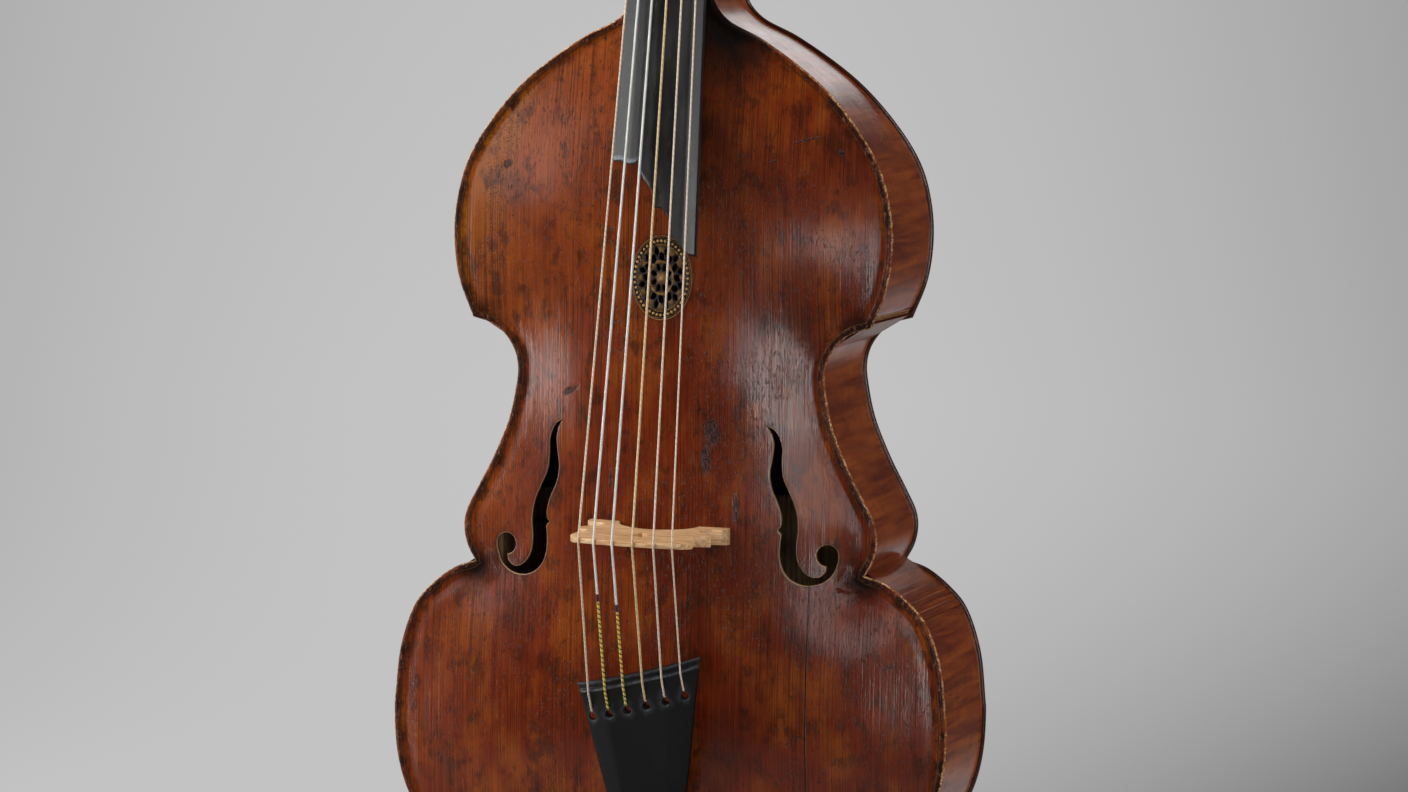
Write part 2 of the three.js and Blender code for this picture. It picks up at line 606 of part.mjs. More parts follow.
function head() {
  let box = loft([boxRing(39, 6, 47, HEAD_START + GAP), boxRing(42, -1, 54, HEAD_START + 14),
    boxRing(38, -3, 52, HEAD_START + 112), boxRing(33, -3, 46, HEAD_START + 200),
    boxRing(28, -4, 44, HEAD_START + 225), boxRing(22, -6, 58, HEAD_START + 265)]);
  box = box.subtract(loft([boxRing(33, -30, 41, HEAD_START - 10), boxRing(32, -30, 46, HEAD_START + 30),
    boxRing(23, -30, 38, HEAD_START + 204)]));
  const volute = [[46, 22], [30, 29], [14, 36]];
  for (const [radius, half] of volute) {
    const wheel = turned([[0, -half], [radius, -half], [radius, half], [0, half]], 20);
    box = box.add(alongX(wheel, 1).translate([0, 26, HEAD_START + 262]));
  }
  for (const k of PEGS) {
    box = box.subtract(alongX(pegTaper(GAP), pegSide(k)).translate([0, pegY(k), pegZ(k)]));
  }
  return box;
}
add('pegbox_scroll', head(), MAPLE_VARNISH, stringGroup);

// ---- pegs and the turns of string on them ----
const WINDING_X = [-20, 20, -13, 13, -5, 5];
const STRING_OF_PEG = [0, 5, 1, 4, 2, 3];
const WINDING = { thick: 2.6, half: 6 };
const pegRadiusAt = (x, side) => PEG_RADIUS[0] + (PEG_RADIUS[1] - PEG_RADIUS[0]) * (x * side + 62) / 124;

function peg() {
  const shaft = turned([[0, -46], [PEG_RADIUS[0] + 0.2, -46], [6.8, 50], [10, 52], [10, 56], [5.5, 60],
    [5.5, 66], [0, 66]], 12);
  const thumb = solid(new THREE.SphereGeometry(1, 10, 6).scale(16, 5, 20)).translate([0, 0, 78]);
  return shaft.add(thumb);
}
for (const k of PEGS) {
  const side = pegSide(k);
  const s = STRING_OF_PEG[k];
  const place = [0, pegY(k), pegZ(k)];
  add(`peg_${s + 1}`, alongX(peg(), side).translate(place), EBONY, stringGroup);
  const r = pegRadiusAt(WINDING_X[k], side) + GAP;
  const w = WINDING;
  const ring = turned([[r, -w.half], [r + w.thick, -w.half], [r + w.thick, w.half], [r, w.half], [r, -w.half]], 12);
  add(`string_winding_${s + 1}`, alongX(ring, side).translate([WINDING_X[k], pegY(k), pegZ(k)]),
    s < 3 ? SILVER : GUT, stringGroup);
}

// ---- tailpiece, in its own frame: z up its length, y behind its crown ----
const TAIL = { x: -6.5, z: -163, height: 112, slope: 0.31, bottom: -246, top: 34, half: 77.1, taper: 0.17 };
const tailGroup = new THREE.Group();
tailGroup.position.set(TAIL.x, EDGE_FRONT - TAIL.height, BRIDGE_Z + TAIL.z);
tailGroup.rotation.x = Math.atan(TAIL.slope);
tailGroup.updateMatrixWorld();
group.add(tailGroup);
const onTail = (x, y, z) => new THREE.Vector3(x, y, z).applyMatrix4(tailGroup.matrixWorld);
const tailHalf = (z) => TAIL.half + TAIL.taper * (z - 20);
const TAIL_EDGE = [6.8, 0.262];    // height of the slanted top edge on the centre line, and its slope
const tailHoleZ = (x) => -36.8 + 0.284 * x;
const ridgeZ = (x) => TAIL_EDGE[0] - 10 + TAIL_EDGE[1] * x;
const tailSurface = (x, z) => Math.max(0, Math.abs(x) / tailHalf(z) - 0.55) * 18;
const RIDGE = 3;
const KEYHOLE = 5;
const TAIL_GUT = { x: 10, radius: 2.5, y: 7 };

function tailRing(z) {
  const w = tailHalf(z);
  return [[-w, 14, z], [-w, 8.1, z], [-0.55 * w, 0, z], [0.55 * w, 0, z], [w, 8.1, z], [w, 14, z]];
}

function tailpiece() {
  let piece = loft([tailRing(TAIL.bottom), tailRing(TAIL.top)]);
  const reach = 120;
  const edge = (x) => TAIL_EDGE[0] + TAIL_EDGE[1] * x;
  const above = [[-reach, edge(-reach)], [reach, edge(reach)], [reach, 90], [-reach, 90]];
  const ridge = solid(new THREE.ExtrudeGeometry(
    shapeOf([[-68, 10], [-68, 4], [-41, -RIDGE], [41, -RIDGE], [68, 4], [68, 10]]), { depth: 4, bevelEnabled: false }));
  const slant = THREE.MathUtils.radToDeg(Math.atan(TAIL_EDGE[1]));
  piece = piece.add(ridge.translate([0, 0, -2]).rotate([0, -slant, 0]).translate([0, 0, ridgeZ(0)]));
  piece = piece.subtract(frontPrism(above, -50, 60));
  TAIL_HOLES.forEach((x) => {
    const z = tailHoleZ(x);
    const keyhole = [];
    for (let i = 0; i <= 10; i += 1) {
      const a = (114 + 31.2 * i) * Math.PI / 180;
      keyhole.push([x + KEYHOLE * Math.cos(a), z + KEYHOLE * Math.sin(a)]);
    }
    keyhole.push([x + 2, z + 14], [x - 2, z + 14]);
    piece = piece.subtract(frontPrism(keyhole, -50, 60));
  });
  for (const side of [-1, 1]) {
    const bore = turned([[0, -30], [TAIL_GUT.radius + GAP, -30], [TAIL_GUT.radius + GAP, 20], [0, 20]], 8);
    piece = piece.subtract(bore.translate([side * TAIL_GUT.x - TAIL.x, TAIL_GUT.y, TAIL.bottom]));
  }
  return piece;
}
add('tailpiece', tailpiece(), EBONY, tailGroup);

// ---- bridge ----
const stringHeight = (x) => STRING_AT_BRIDGE + 3 - 9 * (x / 56) ** 2;
const BRIDGE_SIDE = [[84, 27], [84, 44], [80, 50], [64, 54], [56, 64], [60, 76], [75, 86], [79, 97], [72, 105],
  [64, 110], [66, 124], [71, 140], [71, 152]];
const BRIDGE_ARCH = [[0, 78], [18, 74], [36, 62], [46, 44], [47, 27]];
const underBridge = archSlab(-GAP, 0, null, 0);
const bridgeThick = (h) => 20 - 15 * (h - 27) / 155;

function bridge() {
  const crown = [];
  for (let i = 0; i <= 5; i += 1) {
    const x = 65 - 13 * i;
    crown.push([x, stringHeight(x) - BRIDGE_REST]);
  }
  const half = [...BRIDGE_ARCH, ...BRIDGE_SIDE, ...crown];
  const left = half.slice(1, -1).reverse().map(([x, h]) => [-x, h]);
  const shape = shapeOf([...half, ...left]);
  const heart = [[0, 106], [9, 118], [13, 128], [8, 136], [0, 130], [-8, 136], [-13, 128], [-9, 118]];
  shape.holes.push(new THREE.Path(heart.map(([x, y]) => new THREE.Vector2(x, y))));
  const g = new THREE.ExtrudeGeometry(shape, { depth: 1, bevelEnabled: false });
  const p = g.attributes.position;
  for (let i = 0; i < p.count; i += 1) {
    const x = p.getX(i);
    const h = p.getY(i);
    const z = (p.getZ(i) - 0.5) * bridgeThick(h) + BRIDGE_Z - x * BRIDGE_SLANT;
    p.setXYZ(i, x, EDGE_FRONT - h, z);
  }
  return solid(g).subtract(underBridge);
}
add('bridge', bridge(), PALE_MAPLE);

// ---- strings ----
function stringRoute(s) {
  const xb = BRIDGE_GROOVES[s];
  const xh = TAIL_HOLES[s];
  const xn = (s - 2.5) * NUT_SPACING;
  const k = STRING_OF_PEG.indexOf(s);
  const holeZ = tailHoleZ(xh);
  const xr = xh + (xb - xh) * 0.15;
  const zr = ridgeZ(xr);
  const crest = Math.max(-RIDGE, -RIDGE + (Math.abs(xr) - 41) * 0.26);
  const atBridge = new THREE.Vector3(xb, EDGE_FRONT - stringHeight(xb), BRIDGE_Z - xb * BRIDGE_SLANT);
  const atNut = onStrings(xn, nutString(xn), STRING_LENGTH);
  const r = pegRadiusAt(WINDING_X[k], pegSide(k)) + WINDING.thick + 2 * GAP + STRING_RADII[s];
  const atPeg = onStrings(WINDING_X[k], pegY(k) - r, pegZ(k));
  const points = [onTail(xh, 20, holeZ + 6), onTail(xh, 6 + tailSurface(xh, holeZ), holeZ + 6.5),
    onTail(xh, tailSurface(xh, holeZ) - 0.5, holeZ + 7.5), onTail(xr, crest - BRIDGE_REST, zr)];
  const spans = 3;
  for (let i = 1; i <= spans; i += 1) {
    points.push(new THREE.Vector3().lerpVectors(points[3], atBridge, i / spans));
  }
  for (let i = 1; i <= spans; i += 1) {
    points.push(new THREE.Vector3().lerpVectors(atBridge, atNut, i / spans));
  }
  points.push(new THREE.Vector3().lerpVectors(atNut, atPeg, 0.5), atPeg);
  return points;
}
STRING_RADII.forEach((radius, s) => {
  add(`string_${s + 1}`, cordAlong(stringRoute(s), radius), s < 3 ? SILVER : GUT);
});

// ---- tail gut: from the tailpiece over the saddle and round the collar ----
const LOOP = { z: 146.9, radius: 14.5 + GAP + TAIL_GUT.radius };
function tailGut() {
  const r = TAIL_GUT.radius;
  const face = SADDLE.front - r - GAP;
  const half = [
    onTail(TAIL_GUT.x - TAIL.x, TAIL_GUT.y, TAIL.bottom + 14),
    onTail(TAIL_GUT.x - TAIL.x, TAIL_GUT.y, TAIL.bottom - 2),
    new THREE.Vector3(13, face - 1.5, SADDLE.top + 2), new THREE.Vector3(13, face, SADDLE.top - 6),
    new THREE.Vector3(13, face, SADDLE.bottom + 1), new THREE.Vector3(13, face + 1.4, SADDLE.bottom - 2.6),
    new THREE.Vector3(13.5, face + 5, LOOP.z), new THREE.Vector3(15.5, -60, LOOP.z),
  ];
  const turnPoints = [];
  for (let i = 0; i <= 10; i += 1) {
    const a = (i / 10) * Math.PI;
    turnPoints.push(new THREE.Vector3(LOOP.radius * Math.cos(a), LOOP.radius * Math.sin(a), LOOP.z));
  }
  const other = half.map((p) => new THREE.Vector3(-p.x, p.y, p.z)).reverse();
  return cordAlong([...half, ...turnPoints, ...other], r);
}
add('tail_gut', tailGut(), EBONY);

// ---- endpin: collar, rod, rubber foot and thumbscrew ----
const ROD = { radius: 5, bottom: 14, top: 400 };
const BORE = ROD.radius + 0.4;
const SCREW = { z: 129, radius: 2.5 };
const screwHole = alongX(
  turned([[0, 0], [SCREW.radius + GAP, 0], [SCREW.radius + GAP, 40], [0, 40]], 12), 1)
  .translate([0, 0, SCREW.z]);
const collar = turned([[BORE, 114], [14, 114], [17.5, 119], [17.5, 138], [14.5, 142], [14.5, 151], [20, 151],
  [20, 153.6], [collarRadius, 153.6], [collarRadius, 204], [BORE, 204], [BORE, 114]], 24);
add('endpin_collar', collar.subtract(screwHole), EBONY);
add('endpin_rod', turned([[0, ROD.bottom], [ROD.radius, ROD.bottom], [ROD.radius, ROD.top - 2],
  [ROD.radius - 2, ROD.top], [0, ROD.top]], 20), STEEL);
add('endpin_foot', turned([[0, 0], [8, 0], [11, 4], [10, 26], [7.5, 34], [ROD.radius + GAP, 34],
  [ROD.radius + GAP, ROD.bottom - GAP], [0, ROD.bottom - GAP]], 20), RUBBER);
function thumbscrew() {
  const tip = ROD.radius + GAP;
  const stem = turned([[0, tip], [SCREW.radius, tip], [SCREW.radius, 22], [4.5, 22], [4.5, 30], [0, 30]], 12);
  const wings = solid(new THREE.SphereGeometry(1, 12, 8).scale(9, 1.8, 8)).translate([0, 0, 35]);
  return alongX(stem.add(wings), 1).translate([0, 0, SCREW.z]);
}
add('endpin_thumbscrew', thumbscrew(), BRASS);

export default group;
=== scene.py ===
"""A six-string double bass: fine meshes, wood, gut and metal surfaces, soft light and the camera.

Shapes are worked out in millimetres in the part's own frame (+Z up, front towards -Y, treble side at
+X, origin at the tip of the endpin) and turned into metres when a mesh is made.
"""
import math

import bmesh
import bpy
import numpy as np
from mathutils import Matrix, Vector
from mathutils.geometry import delaunay_2d_cdt


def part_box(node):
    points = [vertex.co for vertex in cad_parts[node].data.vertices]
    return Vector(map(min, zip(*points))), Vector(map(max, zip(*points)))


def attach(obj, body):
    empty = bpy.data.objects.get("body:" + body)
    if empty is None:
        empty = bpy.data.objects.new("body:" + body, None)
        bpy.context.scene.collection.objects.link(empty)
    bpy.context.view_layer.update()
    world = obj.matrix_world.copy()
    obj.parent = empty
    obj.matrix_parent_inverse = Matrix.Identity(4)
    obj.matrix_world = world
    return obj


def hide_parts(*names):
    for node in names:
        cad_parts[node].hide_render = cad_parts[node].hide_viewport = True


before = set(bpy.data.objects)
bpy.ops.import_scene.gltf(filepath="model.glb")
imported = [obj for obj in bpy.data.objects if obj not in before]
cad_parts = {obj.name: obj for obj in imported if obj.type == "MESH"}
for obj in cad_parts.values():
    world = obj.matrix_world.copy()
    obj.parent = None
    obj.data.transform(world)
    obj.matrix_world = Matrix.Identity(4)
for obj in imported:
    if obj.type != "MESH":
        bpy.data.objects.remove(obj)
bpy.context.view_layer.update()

MM = 0.001
TAU = 2 * math.pi


def corners(node):
    """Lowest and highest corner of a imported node, in millimetres."""
    low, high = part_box(node)
    return np.array(low) / MM, np.array(high) / MM


# ---- sizes taken from the frame ----
GAP = 0.3                                # clearance between neighbouring pieces
PLATE_LOW, PLATE_HIGH = corners("top_plate")
BODY_BOTTOM, BODY_TOP = PLATE_LOW[2], PLATE_HIGH[2]
RIB_FRONT = corners("rib_lower_bass")[0][1] - GAP
RIB_BACK = corners("rib_lower_bass")[1][1] + GAP
BACK_OUTSIDE = corners("back_plate")[1][1]
BUTTON_TOP = corners("back_plate")[1][2]
BRIDGE_Z = (corners("bridge")[0][2] + corners("bridge")[1][2]) / 2
HEAD_TOP = corners("pegbox_scroll")[1][2]

# ---- sizes repeated from the part's design ----
EDGE_FRONT = RIB_FRONT - 6
OVERHANG = 4
RIB_THICK = 2.5
BACK_BREAK_Z = 1000
HEEL_BACK = 42
ARCH_HEIGHT = 44
ARCH_REACH = 120
STRING_AT_BRIDGE = 178
STRING_SLOPE = math.atan(0.205)
STRING_LENGTH = 1080
NUT_SPACING = 12.4
BRIDGE_SLANT = 0.028
BRIDGE_GROOVES = (-55.5, -36, -13, 11, 35, 55.5)
TAIL_HOLES = (-55.4, -33.6, -11.5, 12, 35.3, 57.4)
STRING_RADII = (1.25, 1.5, 1.5, 1.35, 1.2, 1.0)
BOARD_NUT_HALF = 37
BOARD_END_HALF = 55
BOARD_END = 334
REST = 1.8
BRIDGE_REST = 2.5
NUT_THICK = 9
HEAD_START = STRING_LENGTH + 7.7

# ---- half outlines: [distance from the centre line, height above the bridge line] ----
BOTTOM = BODY_BOTTOM - BRIDGE_Z
WIDEST = (335, -216)
NOTCH = (236, -46)
CORNER = (240.5, 240)
LOWER_BOUT = [NOTCH, (262, -55), (290, -76), (309, -98), (327, -148), WIDEST]
MIDDLE_BOUT = [CORNER, (219, 233.5), (203, 222.5), (190, 203.5), (185.3, 183), (187.5, 160),
               (196.3, 121), (216, 74), (235, 38), (247.5, 12), (250, -6), (246, -27), NOTCH]
UPPER_BOUT = [CORNER, (258, 285), (264.5, 335), (261, 378), (247, 426), (218, 473), (175.5, 520),
              (109, 568), (67, 590), (53, 605), (46, BODY_TOP - BRIDGE_Z)]
BOTTOM_POWER = 2.65
HOLE_OUTER = [(123, 126), (132, 120), (137.5, 110.6), (140.5, 98.8), (140.2, 84.7), (142, 66.4),
              (148.6, 51), (156, 34), (159.7, 19), (160.5, 3.6), (159, -13.4), (160.6, -28.8),
              (166.4, -40.5), (176, -47.9), (185.2, -48.2), (192, -42)]
HOLE_INNER = [(206, -30), (200, -45), (191, -53.3), (179, -57.5), (166, -57.2), (153, -51),
              (144.5, -40), (140.5, -25), (140.8, -9), (141.5, 1), (138, 5.5), (141.4, 11), (141, 23),
              (137, 36), (130, 52), (127, 70), (129.5, 88), (131, 104), (129, 115)]
EYE = (194, -23)
EYE_RADIUS = 12.5
ROSETTE_Z = 294
ROSETTE_HALF = (35.5, 47.5)

# ---- old knocks and scratches on the top: middle, half sizes and lean ----
KNOCKS = [((62, 118), (12, 20), 0.1), ((55, 88), (7, 26), 0.0), ((165, 455), (19, 1.6), 0.25),
          ((128, 430), (5, 2), 0.3), ((205, 440), (4, 5), 0.0), ((-232, -330), (3, 14), -0.5),
          ((-222, -350), (2, 12), -0.5), ((30, 330), (3, 3), 0.0), ((-60, 60), (3, 16), 0.05),
          ((90, 30), (5, 22), 0.0), ((-196, 420), (9, 6), 0.4), ((-112, 160), (14, 5), 0.5)]


# ---- plane curves ----
def columns(*parts):
    """Points from one number or array for each coordinate."""
    return np.stack(np.broadcast_arrays(*parts), axis=1)


def curve_through(points, pieces):
    """Centripetal spline through the points, at equal steps of its parameter."""
    p = [np.array(q, float) for q in points]
    p = [2 * p[0] - p[1], *p, 2 * p[-1] - p[-2]]
    found = []
    for i in range(pieces + 1):
        at = i / pieces * (len(points) - 1)
        k = min(int(at), len(points) - 2)
        t = at - k
        a, b, c, d = p[k:k + 4]
        ab, bc, cd = math.dist(a, b) ** 0.5, math.dist(b, c) ** 0.5, math.dist(c, d) ** 0.5
        leave = ((b - a) / ab - (c - a) / (ab + bc) + (c - b) / bc) * bc
        reach = ((c - b) / bc - (d - b) / (bc + cd) + (d - c) / cd) * bc
        found.append(b + leave * t + (3 * (c - b) - 2 * leave - reach) * t ** 2
                     + (2 * (b - c) + leave + reach) * t ** 3)
    return np.array(found)


def run_of(points):
    """Length along a polyline at each of its points."""
    return np.concatenate([[0], np.cumsum(np.linalg.norm(np.diff(points, axis=0), axis=1))])


def spaced(points, step=None, count=None):
    """Points at equal steps along a polyline, with its ends kept."""
    points = np.asarray(points, float)
    run = run_of(points)
    at = np.linspace(0, run[-1], count or max(2, round(run[-1] / step) + 1))
    return columns(*(np.interp(at, run, column) for column in points.T))


def mirrored(points):
    return np.asarray(points)[::-1] * (-1, 1)


def half_outline(step):
    """Right half of the body from the bottom to the heel: lower bout, waist and upper bout."""
    angle = np.linspace(TAU / 4, 0, 200)
    power = 2 / BOTTOM_POWER
    bottom = columns(WIDEST[0] * np.cos(angle) ** power,
                     WIDEST[1] - (WIDEST[1] - BOTTOM) * np.sin(angle) ** power)
    lower = np.vstack([bottom, curve_through(LOWER_BOUT, 120)[::-1][1:]])
    parts = (lower, curve_through(MIDDLE_BOUT, 200)[::-1], curve_through(UPPER_BOUT, 200))
    return [spaced(part, step) + (0, BRIDGE_Z) for part in parts]


def body_outline(step, crown=None):
    """Closed outline, anticlockwise from the front; crown is what joins the two shoulders."""
    lower, middle, upper = half_outline(step)
    right = np.vstack([lower[:-1], middle[:-1], upper[:-1]])
    shoulder = upper[-1]
    if crown is None:
        crown = [shoulder, shoulder * (-1, 1)]
    return np.vstack([right, spaced(crown, step), right[:0:-1] * (-1, 1)])


def far(points, loop):
    """Distance of each point from a closed loop."""
    run = np.roll(loop, -1, axis=0) - loop
    square = (run ** 2).sum(1)
    found = []
    for some in np.array_split(points, len(points) // 1500 + 1):
        away = some[:, None] - loop
        t = np.clip((away * run).sum(2) / square, 0, 1)
        found.append(np.sqrt(((away - t[..., None] * run) ** 2).sum(2).min(1)))
    return np.concatenate(found)


def inside(points, loop):
    """Which points lie in a closed loop."""
    after = np.roll(loop, -1, axis=0)
    rise = after[:, 1] - loop[:, 1]
    rise = np.where(rise == 0, 1e-9, rise)
    found = []
    for some in np.array_split(points, len(points) // 1500 + 1):
        x, z = some[:, :1], some[:, 1:]
        crosses = (loop[:, 1] > z) != (after[:, 1] > z)
        at = loop[:, 0] + (z - loop[:, 1]) / rise * (after[:, 0] - loop[:, 0])
        found.append((crosses & (x < at)).sum(1) % 2 == 1)
    return np.concatenate(found)


def offset(loop, distance):
    """An anticlockwise loop moved inwards, and which of its points have not folded over."""
    def normal(run):
        run = run / np.linalg.norm(run, axis=1, keepdims=True)
        return columns(-run[:, 1], run[:, 0])
    before = normal(loop - np.roll(loop, 1, axis=0))
    after = normal(np.roll(loop, -1, axis=0) - loop)
    share = distance / np.maximum(1 + (before * after).sum(1), 0.2)
    moved = loop + (before + after) * share[:, None]
    return moved, far(moved, loop) > abs(distance) - 0.05


def inset(loop, distance):
    moved, kept = offset(loop, distance)
    return moved[kept]


# ---- the arch of the top ----
ARCH_LOOP = body_outline(11)


def arch(x, z):
    """Height of the top above its edge, from a rounded measure of the distance to the edge."""
    points = columns(np.ravel(x), np.ravel(z)).astype(float)
    after = np.roll(ARCH_LOOP, -1, axis=0)
    middle = (ARCH_LOOP + after) / 2
    length = np.linalg.norm(after - ARCH_LOOP, axis=1)
    total = np.empty(len(points))
    for some in np.array_split(np.arange(len(points)), len(points) // 3000 + 1):
        square = ((points[some, None] - middle) ** 2).sum(2) + 1
        total[some] = (length / square ** 2).sum(1)
    distance = (2 * total / math.pi) ** (-1 / 3)
    waist = 1 - 0.29 * np.exp(-(((points[:, 1] - BRIDGE_Z - 170) / 75) ** 2))
    height = ARCH_HEIGHT * (1 - np.exp(-((distance / (ARCH_REACH * waist)) ** 1.6)))
    return np.where(inside(points, ARCH_LOOP), height, 0).reshape(np.shape(x))


# ---- meshes ----
class Flat:
    """A triangulated outline with holes: points, triangles and the distance of each point from the
    outline and from the nearest hole."""

    def __init__(self, outline, holes=(), rings=(), hole_rings=(), step=8.0, lines=()):
        self.points, self.edges = [], []
        self.outline = outline
        self.holes = [self.anticlockwise(hole) for hole in holes]
        self.ring_reach = rings[-1] if rings else 0
        self.hole_reach = hole_rings[-1] if hole_rings else 0
        for loop in (outline, *self.holes):
            self.keep_loop(loop, np.ones(len(loop), bool))
        for distance in rings:
            ring, kept = offset(outline, distance)
            for hole in self.holes:
                kept &= far(ring, hole) > self.hole_reach + 0.5
            self.keep_loop(ring, kept)
        for hole in self.holes:
            for distance in hole_rings:
                ring, kept = offset(hole, -distance)
                kept &= inside(ring, outline) & (far(ring, outline) > distance * 0.8)
                for other in self.holes:
                    if other is not hole:
                        kept &= (far(ring, other) > distance * 0.9) & ~inside(ring, other)
                self.keep_loop(ring, kept)
        for line in lines:
            self.keep_loop(line, self.clear(line, 0.4), closed=False)
        self.add_grid(step)
        self.triangulate()

    @staticmethod
    def anticlockwise(loop):
        x, z = np.asarray(loop, float).T
        area = (x * np.roll(z, -1) - np.roll(x, -1) * z).sum()
        return np.asarray(loop, float)[:: 1 if area > 0 else -1]

    def keep_loop(self, loop, kept, closed=True):
        place = {}
        for i in np.flatnonzero(kept):
            place[i] = len(self.points)
            self.points.append(loop[i])
        count = len(loop)
        for i in place:
            following = (i + 1) % count
            if following in place and (closed or following):
                self.edges.append((place[i], place[following]))

    def clear(self, points, gap):
        """Which points lie on the plate, and off its rings by a gap."""
        kept = inside(points, self.outline) & (far(points, self.outline) > self.ring_reach + gap)
        for hole in self.holes:
            kept &= ~inside(points, hole) & (far(points, hole) > self.hole_reach + gap)
        return kept

    def add_grid(self, step):
        """Fills the open field with points in staggered rows."""
        low, high = self.outline.min(0), self.outline.max(0)
        rows = np.arange(low[1], high[1], step * 0.866)
        grid = np.array([(x + step / 2 * (i % 2), z) for i, z in enumerate(rows)
                         for x in np.arange(low[0] - step, high[0] + step, step)])
        grid = grid[self.clear(grid, 0.6 * step)]
        used = np.array(self.points)
        apart = [((some[:, None] - used) ** 2).sum(2).min(1)
                 for some in np.array_split(grid, len(grid) // 1000 + 1)]
        self.points.extend(grid[np.concatenate(apart) > (0.45 * step) ** 2])

    def triangulate(self):
        found = delaunay_2d_cdt([Vector(p) for p in self.points], self.edges, [], 0, 1e-4)
        points = np.array([tuple(p) for p in found[0]])
        triangles = np.array(found[2])
        middle = points[triangles].mean(1)
        kept = inside(middle, self.outline)
        for hole in self.holes:
            kept &= ~inside(middle, hole)
        a, b, c = (points[triangles[:, i]] for i in range(3))
        area = (b - a)[:, 0] * (c - a)[:, 1] - (b - a)[:, 1] * (c - a)[:, 0]
        kept &= abs(area) > 1e-5
        triangles[area < 0] = triangles[area < 0][:, ::-1]
        used, triangles = np.unique(triangles[kept], return_inverse=True)
        self.triangles = triangles.reshape(-1, 3)
        self.points = points[used]
        self.x, self.z = self.points.T
        self.edge = far(self.points, self.outline)
        self.hole = np.full(len(used), 99.0)
        for hole in self.holes:
            self.hole = np.minimum(self.hole, far(self.points, hole))

    def thick(self, front, back):
        """Closed mesh between two placed copies of the points."""
        count = len(self.points)
        directed = {(a, b) for t in self.triangles.tolist() for a, b in zip(t, t[1:] + t[:1])}
        walls = [(b, a, a + count, b + count) for a, b in directed if (b, a) not in directed]
        walls.sort()
        faces = self.triangles.tolist() + (self.triangles[:, ::-1] + count).tolist() + walls
        return np.vstack([front, back]), faces

    def plate(self, front, back):
        """Closed mesh between two surfaces given by their depths behind the points."""
        return self.thick(columns(self.x, front, self.z), columns(self.x, back, self.z))


def rounded(distance, radius):
    """How far a surface falls back near an edge that is rounded over."""
    t = np.clip(1 - distance / radius, 0, 1)
    return radius * (1 - np.sqrt(1 - t ** 2))


def loft(rings):
    """Skin through rings of equal point count, with flat ends."""
    count = len(rings[0])
    last = (len(rings) - 1) * count
    faces = []
    for a in range(0, last, count):
        for i in range(count):
            j = (i + 1) % count
            faces.append((a + i, a + j, a + count + j, a + count + i))
    faces.append(tuple(range(count - 1, -1, -1)))
    faces.append(tuple(range(last, last + count)))
    return np.vstack(rings), faces


def lathe(profile, segments=40):
    """Turned piece about +Z from [radius, height] points; a radius of 0 becomes one point."""
    verts, faces, rows = [], [], []
    for radius, height in profile:
        first = len(verts)
        if radius == 0:
            verts.append((0, 0, height))
            rows.append([first] * segments)
            continue
        for i in range(segments):
            a = TAU * i / segments
            verts.append((radius * math.cos(a), radius * math.sin(a), height))
        rows.append(list(range(first, first + segments)))
    for low, high in zip(rows, rows[1:]):
        for i in range(segments):
            j = (i + 1) % segments
            face = list(dict.fromkeys((low[i], low[j], high[j], high[i])))
            if len(face) > 2:
                faces.append(tuple(face))
    return np.array(verts, float), faces


def placed(shape, place):
    """A shape (verts, faces) moved by a function of its points."""
    return place(shape[0]), shape[1]


def joined(*pieces):
    """Several (verts, faces) as one."""
    verts, faces, start = [], [], 0
    for some_verts, some_faces in pieces:
        verts.append(some_verts)
        faces.extend(tuple(i + start for i in face) for face in some_faces)
        start += len(some_verts)
    return np.vstack(verts), faces


def softened(points, reach):
    """A polyline whose bends are eased over a given reach."""
    points = [np.array(p, float) for p in points]
    found = [points[0]]
    for before, here, after in zip(points, points[1:], points[2:]):
        a = min(reach, 0.45 * math.dist(before, here))
        b = min(reach, 0.45 * math.dist(here, after))
        start = here + (before - here) / math.dist(before, here) * a
        end = here + (after - here) / math.dist(here, after) * b
        for t in np.linspace(0, 1, 6):
            found.append(start * (1 - t) ** 2 + 2 * here * t * (1 - t) + end * t ** 2)
    found.append(points[-1])
    return np.array(found)


def tube(path, radius, sides=12):
    """Round tube along a path: verts, faces, and for each vertex (cos, sin, distance along)."""
    path = np.asarray(path, float)
    along = run_of(path)
    tangent = np.gradient(path, axis=0)
    tangent /= np.linalg.norm(tangent, axis=1, keepdims=True)
    side = np.cross(tangent[0], (0.3, 0.2, 1.0))
    side /= np.linalg.norm(side)
    rings, wraps = [], []
    radii = np.broadcast_to(radius, len(path))
    for point, ahead, run, size in zip(path, tangent, along, radii):
        side = side - ahead * (side @ ahead)
        side /= np.linalg.norm(side)
        other = np.cross(ahead, side)
        angle = TAU * np.arange(sides) / sides
        cos, sin = np.cos(angle), np.sin(angle)
        rings.append(point + size * (np.outer(cos, side) + np.outer(sin, other)))
        wraps.append(columns(cos, sin, run * MM))
    verts, faces = loft(rings)
    return verts, faces, np.vstack(wraps)


def in_scene(name, data):
    """An object linked into the scene."""
    piece = bpy.data.objects.new(name, data)
    bpy.context.scene.collection.objects.link(piece)
    return piece


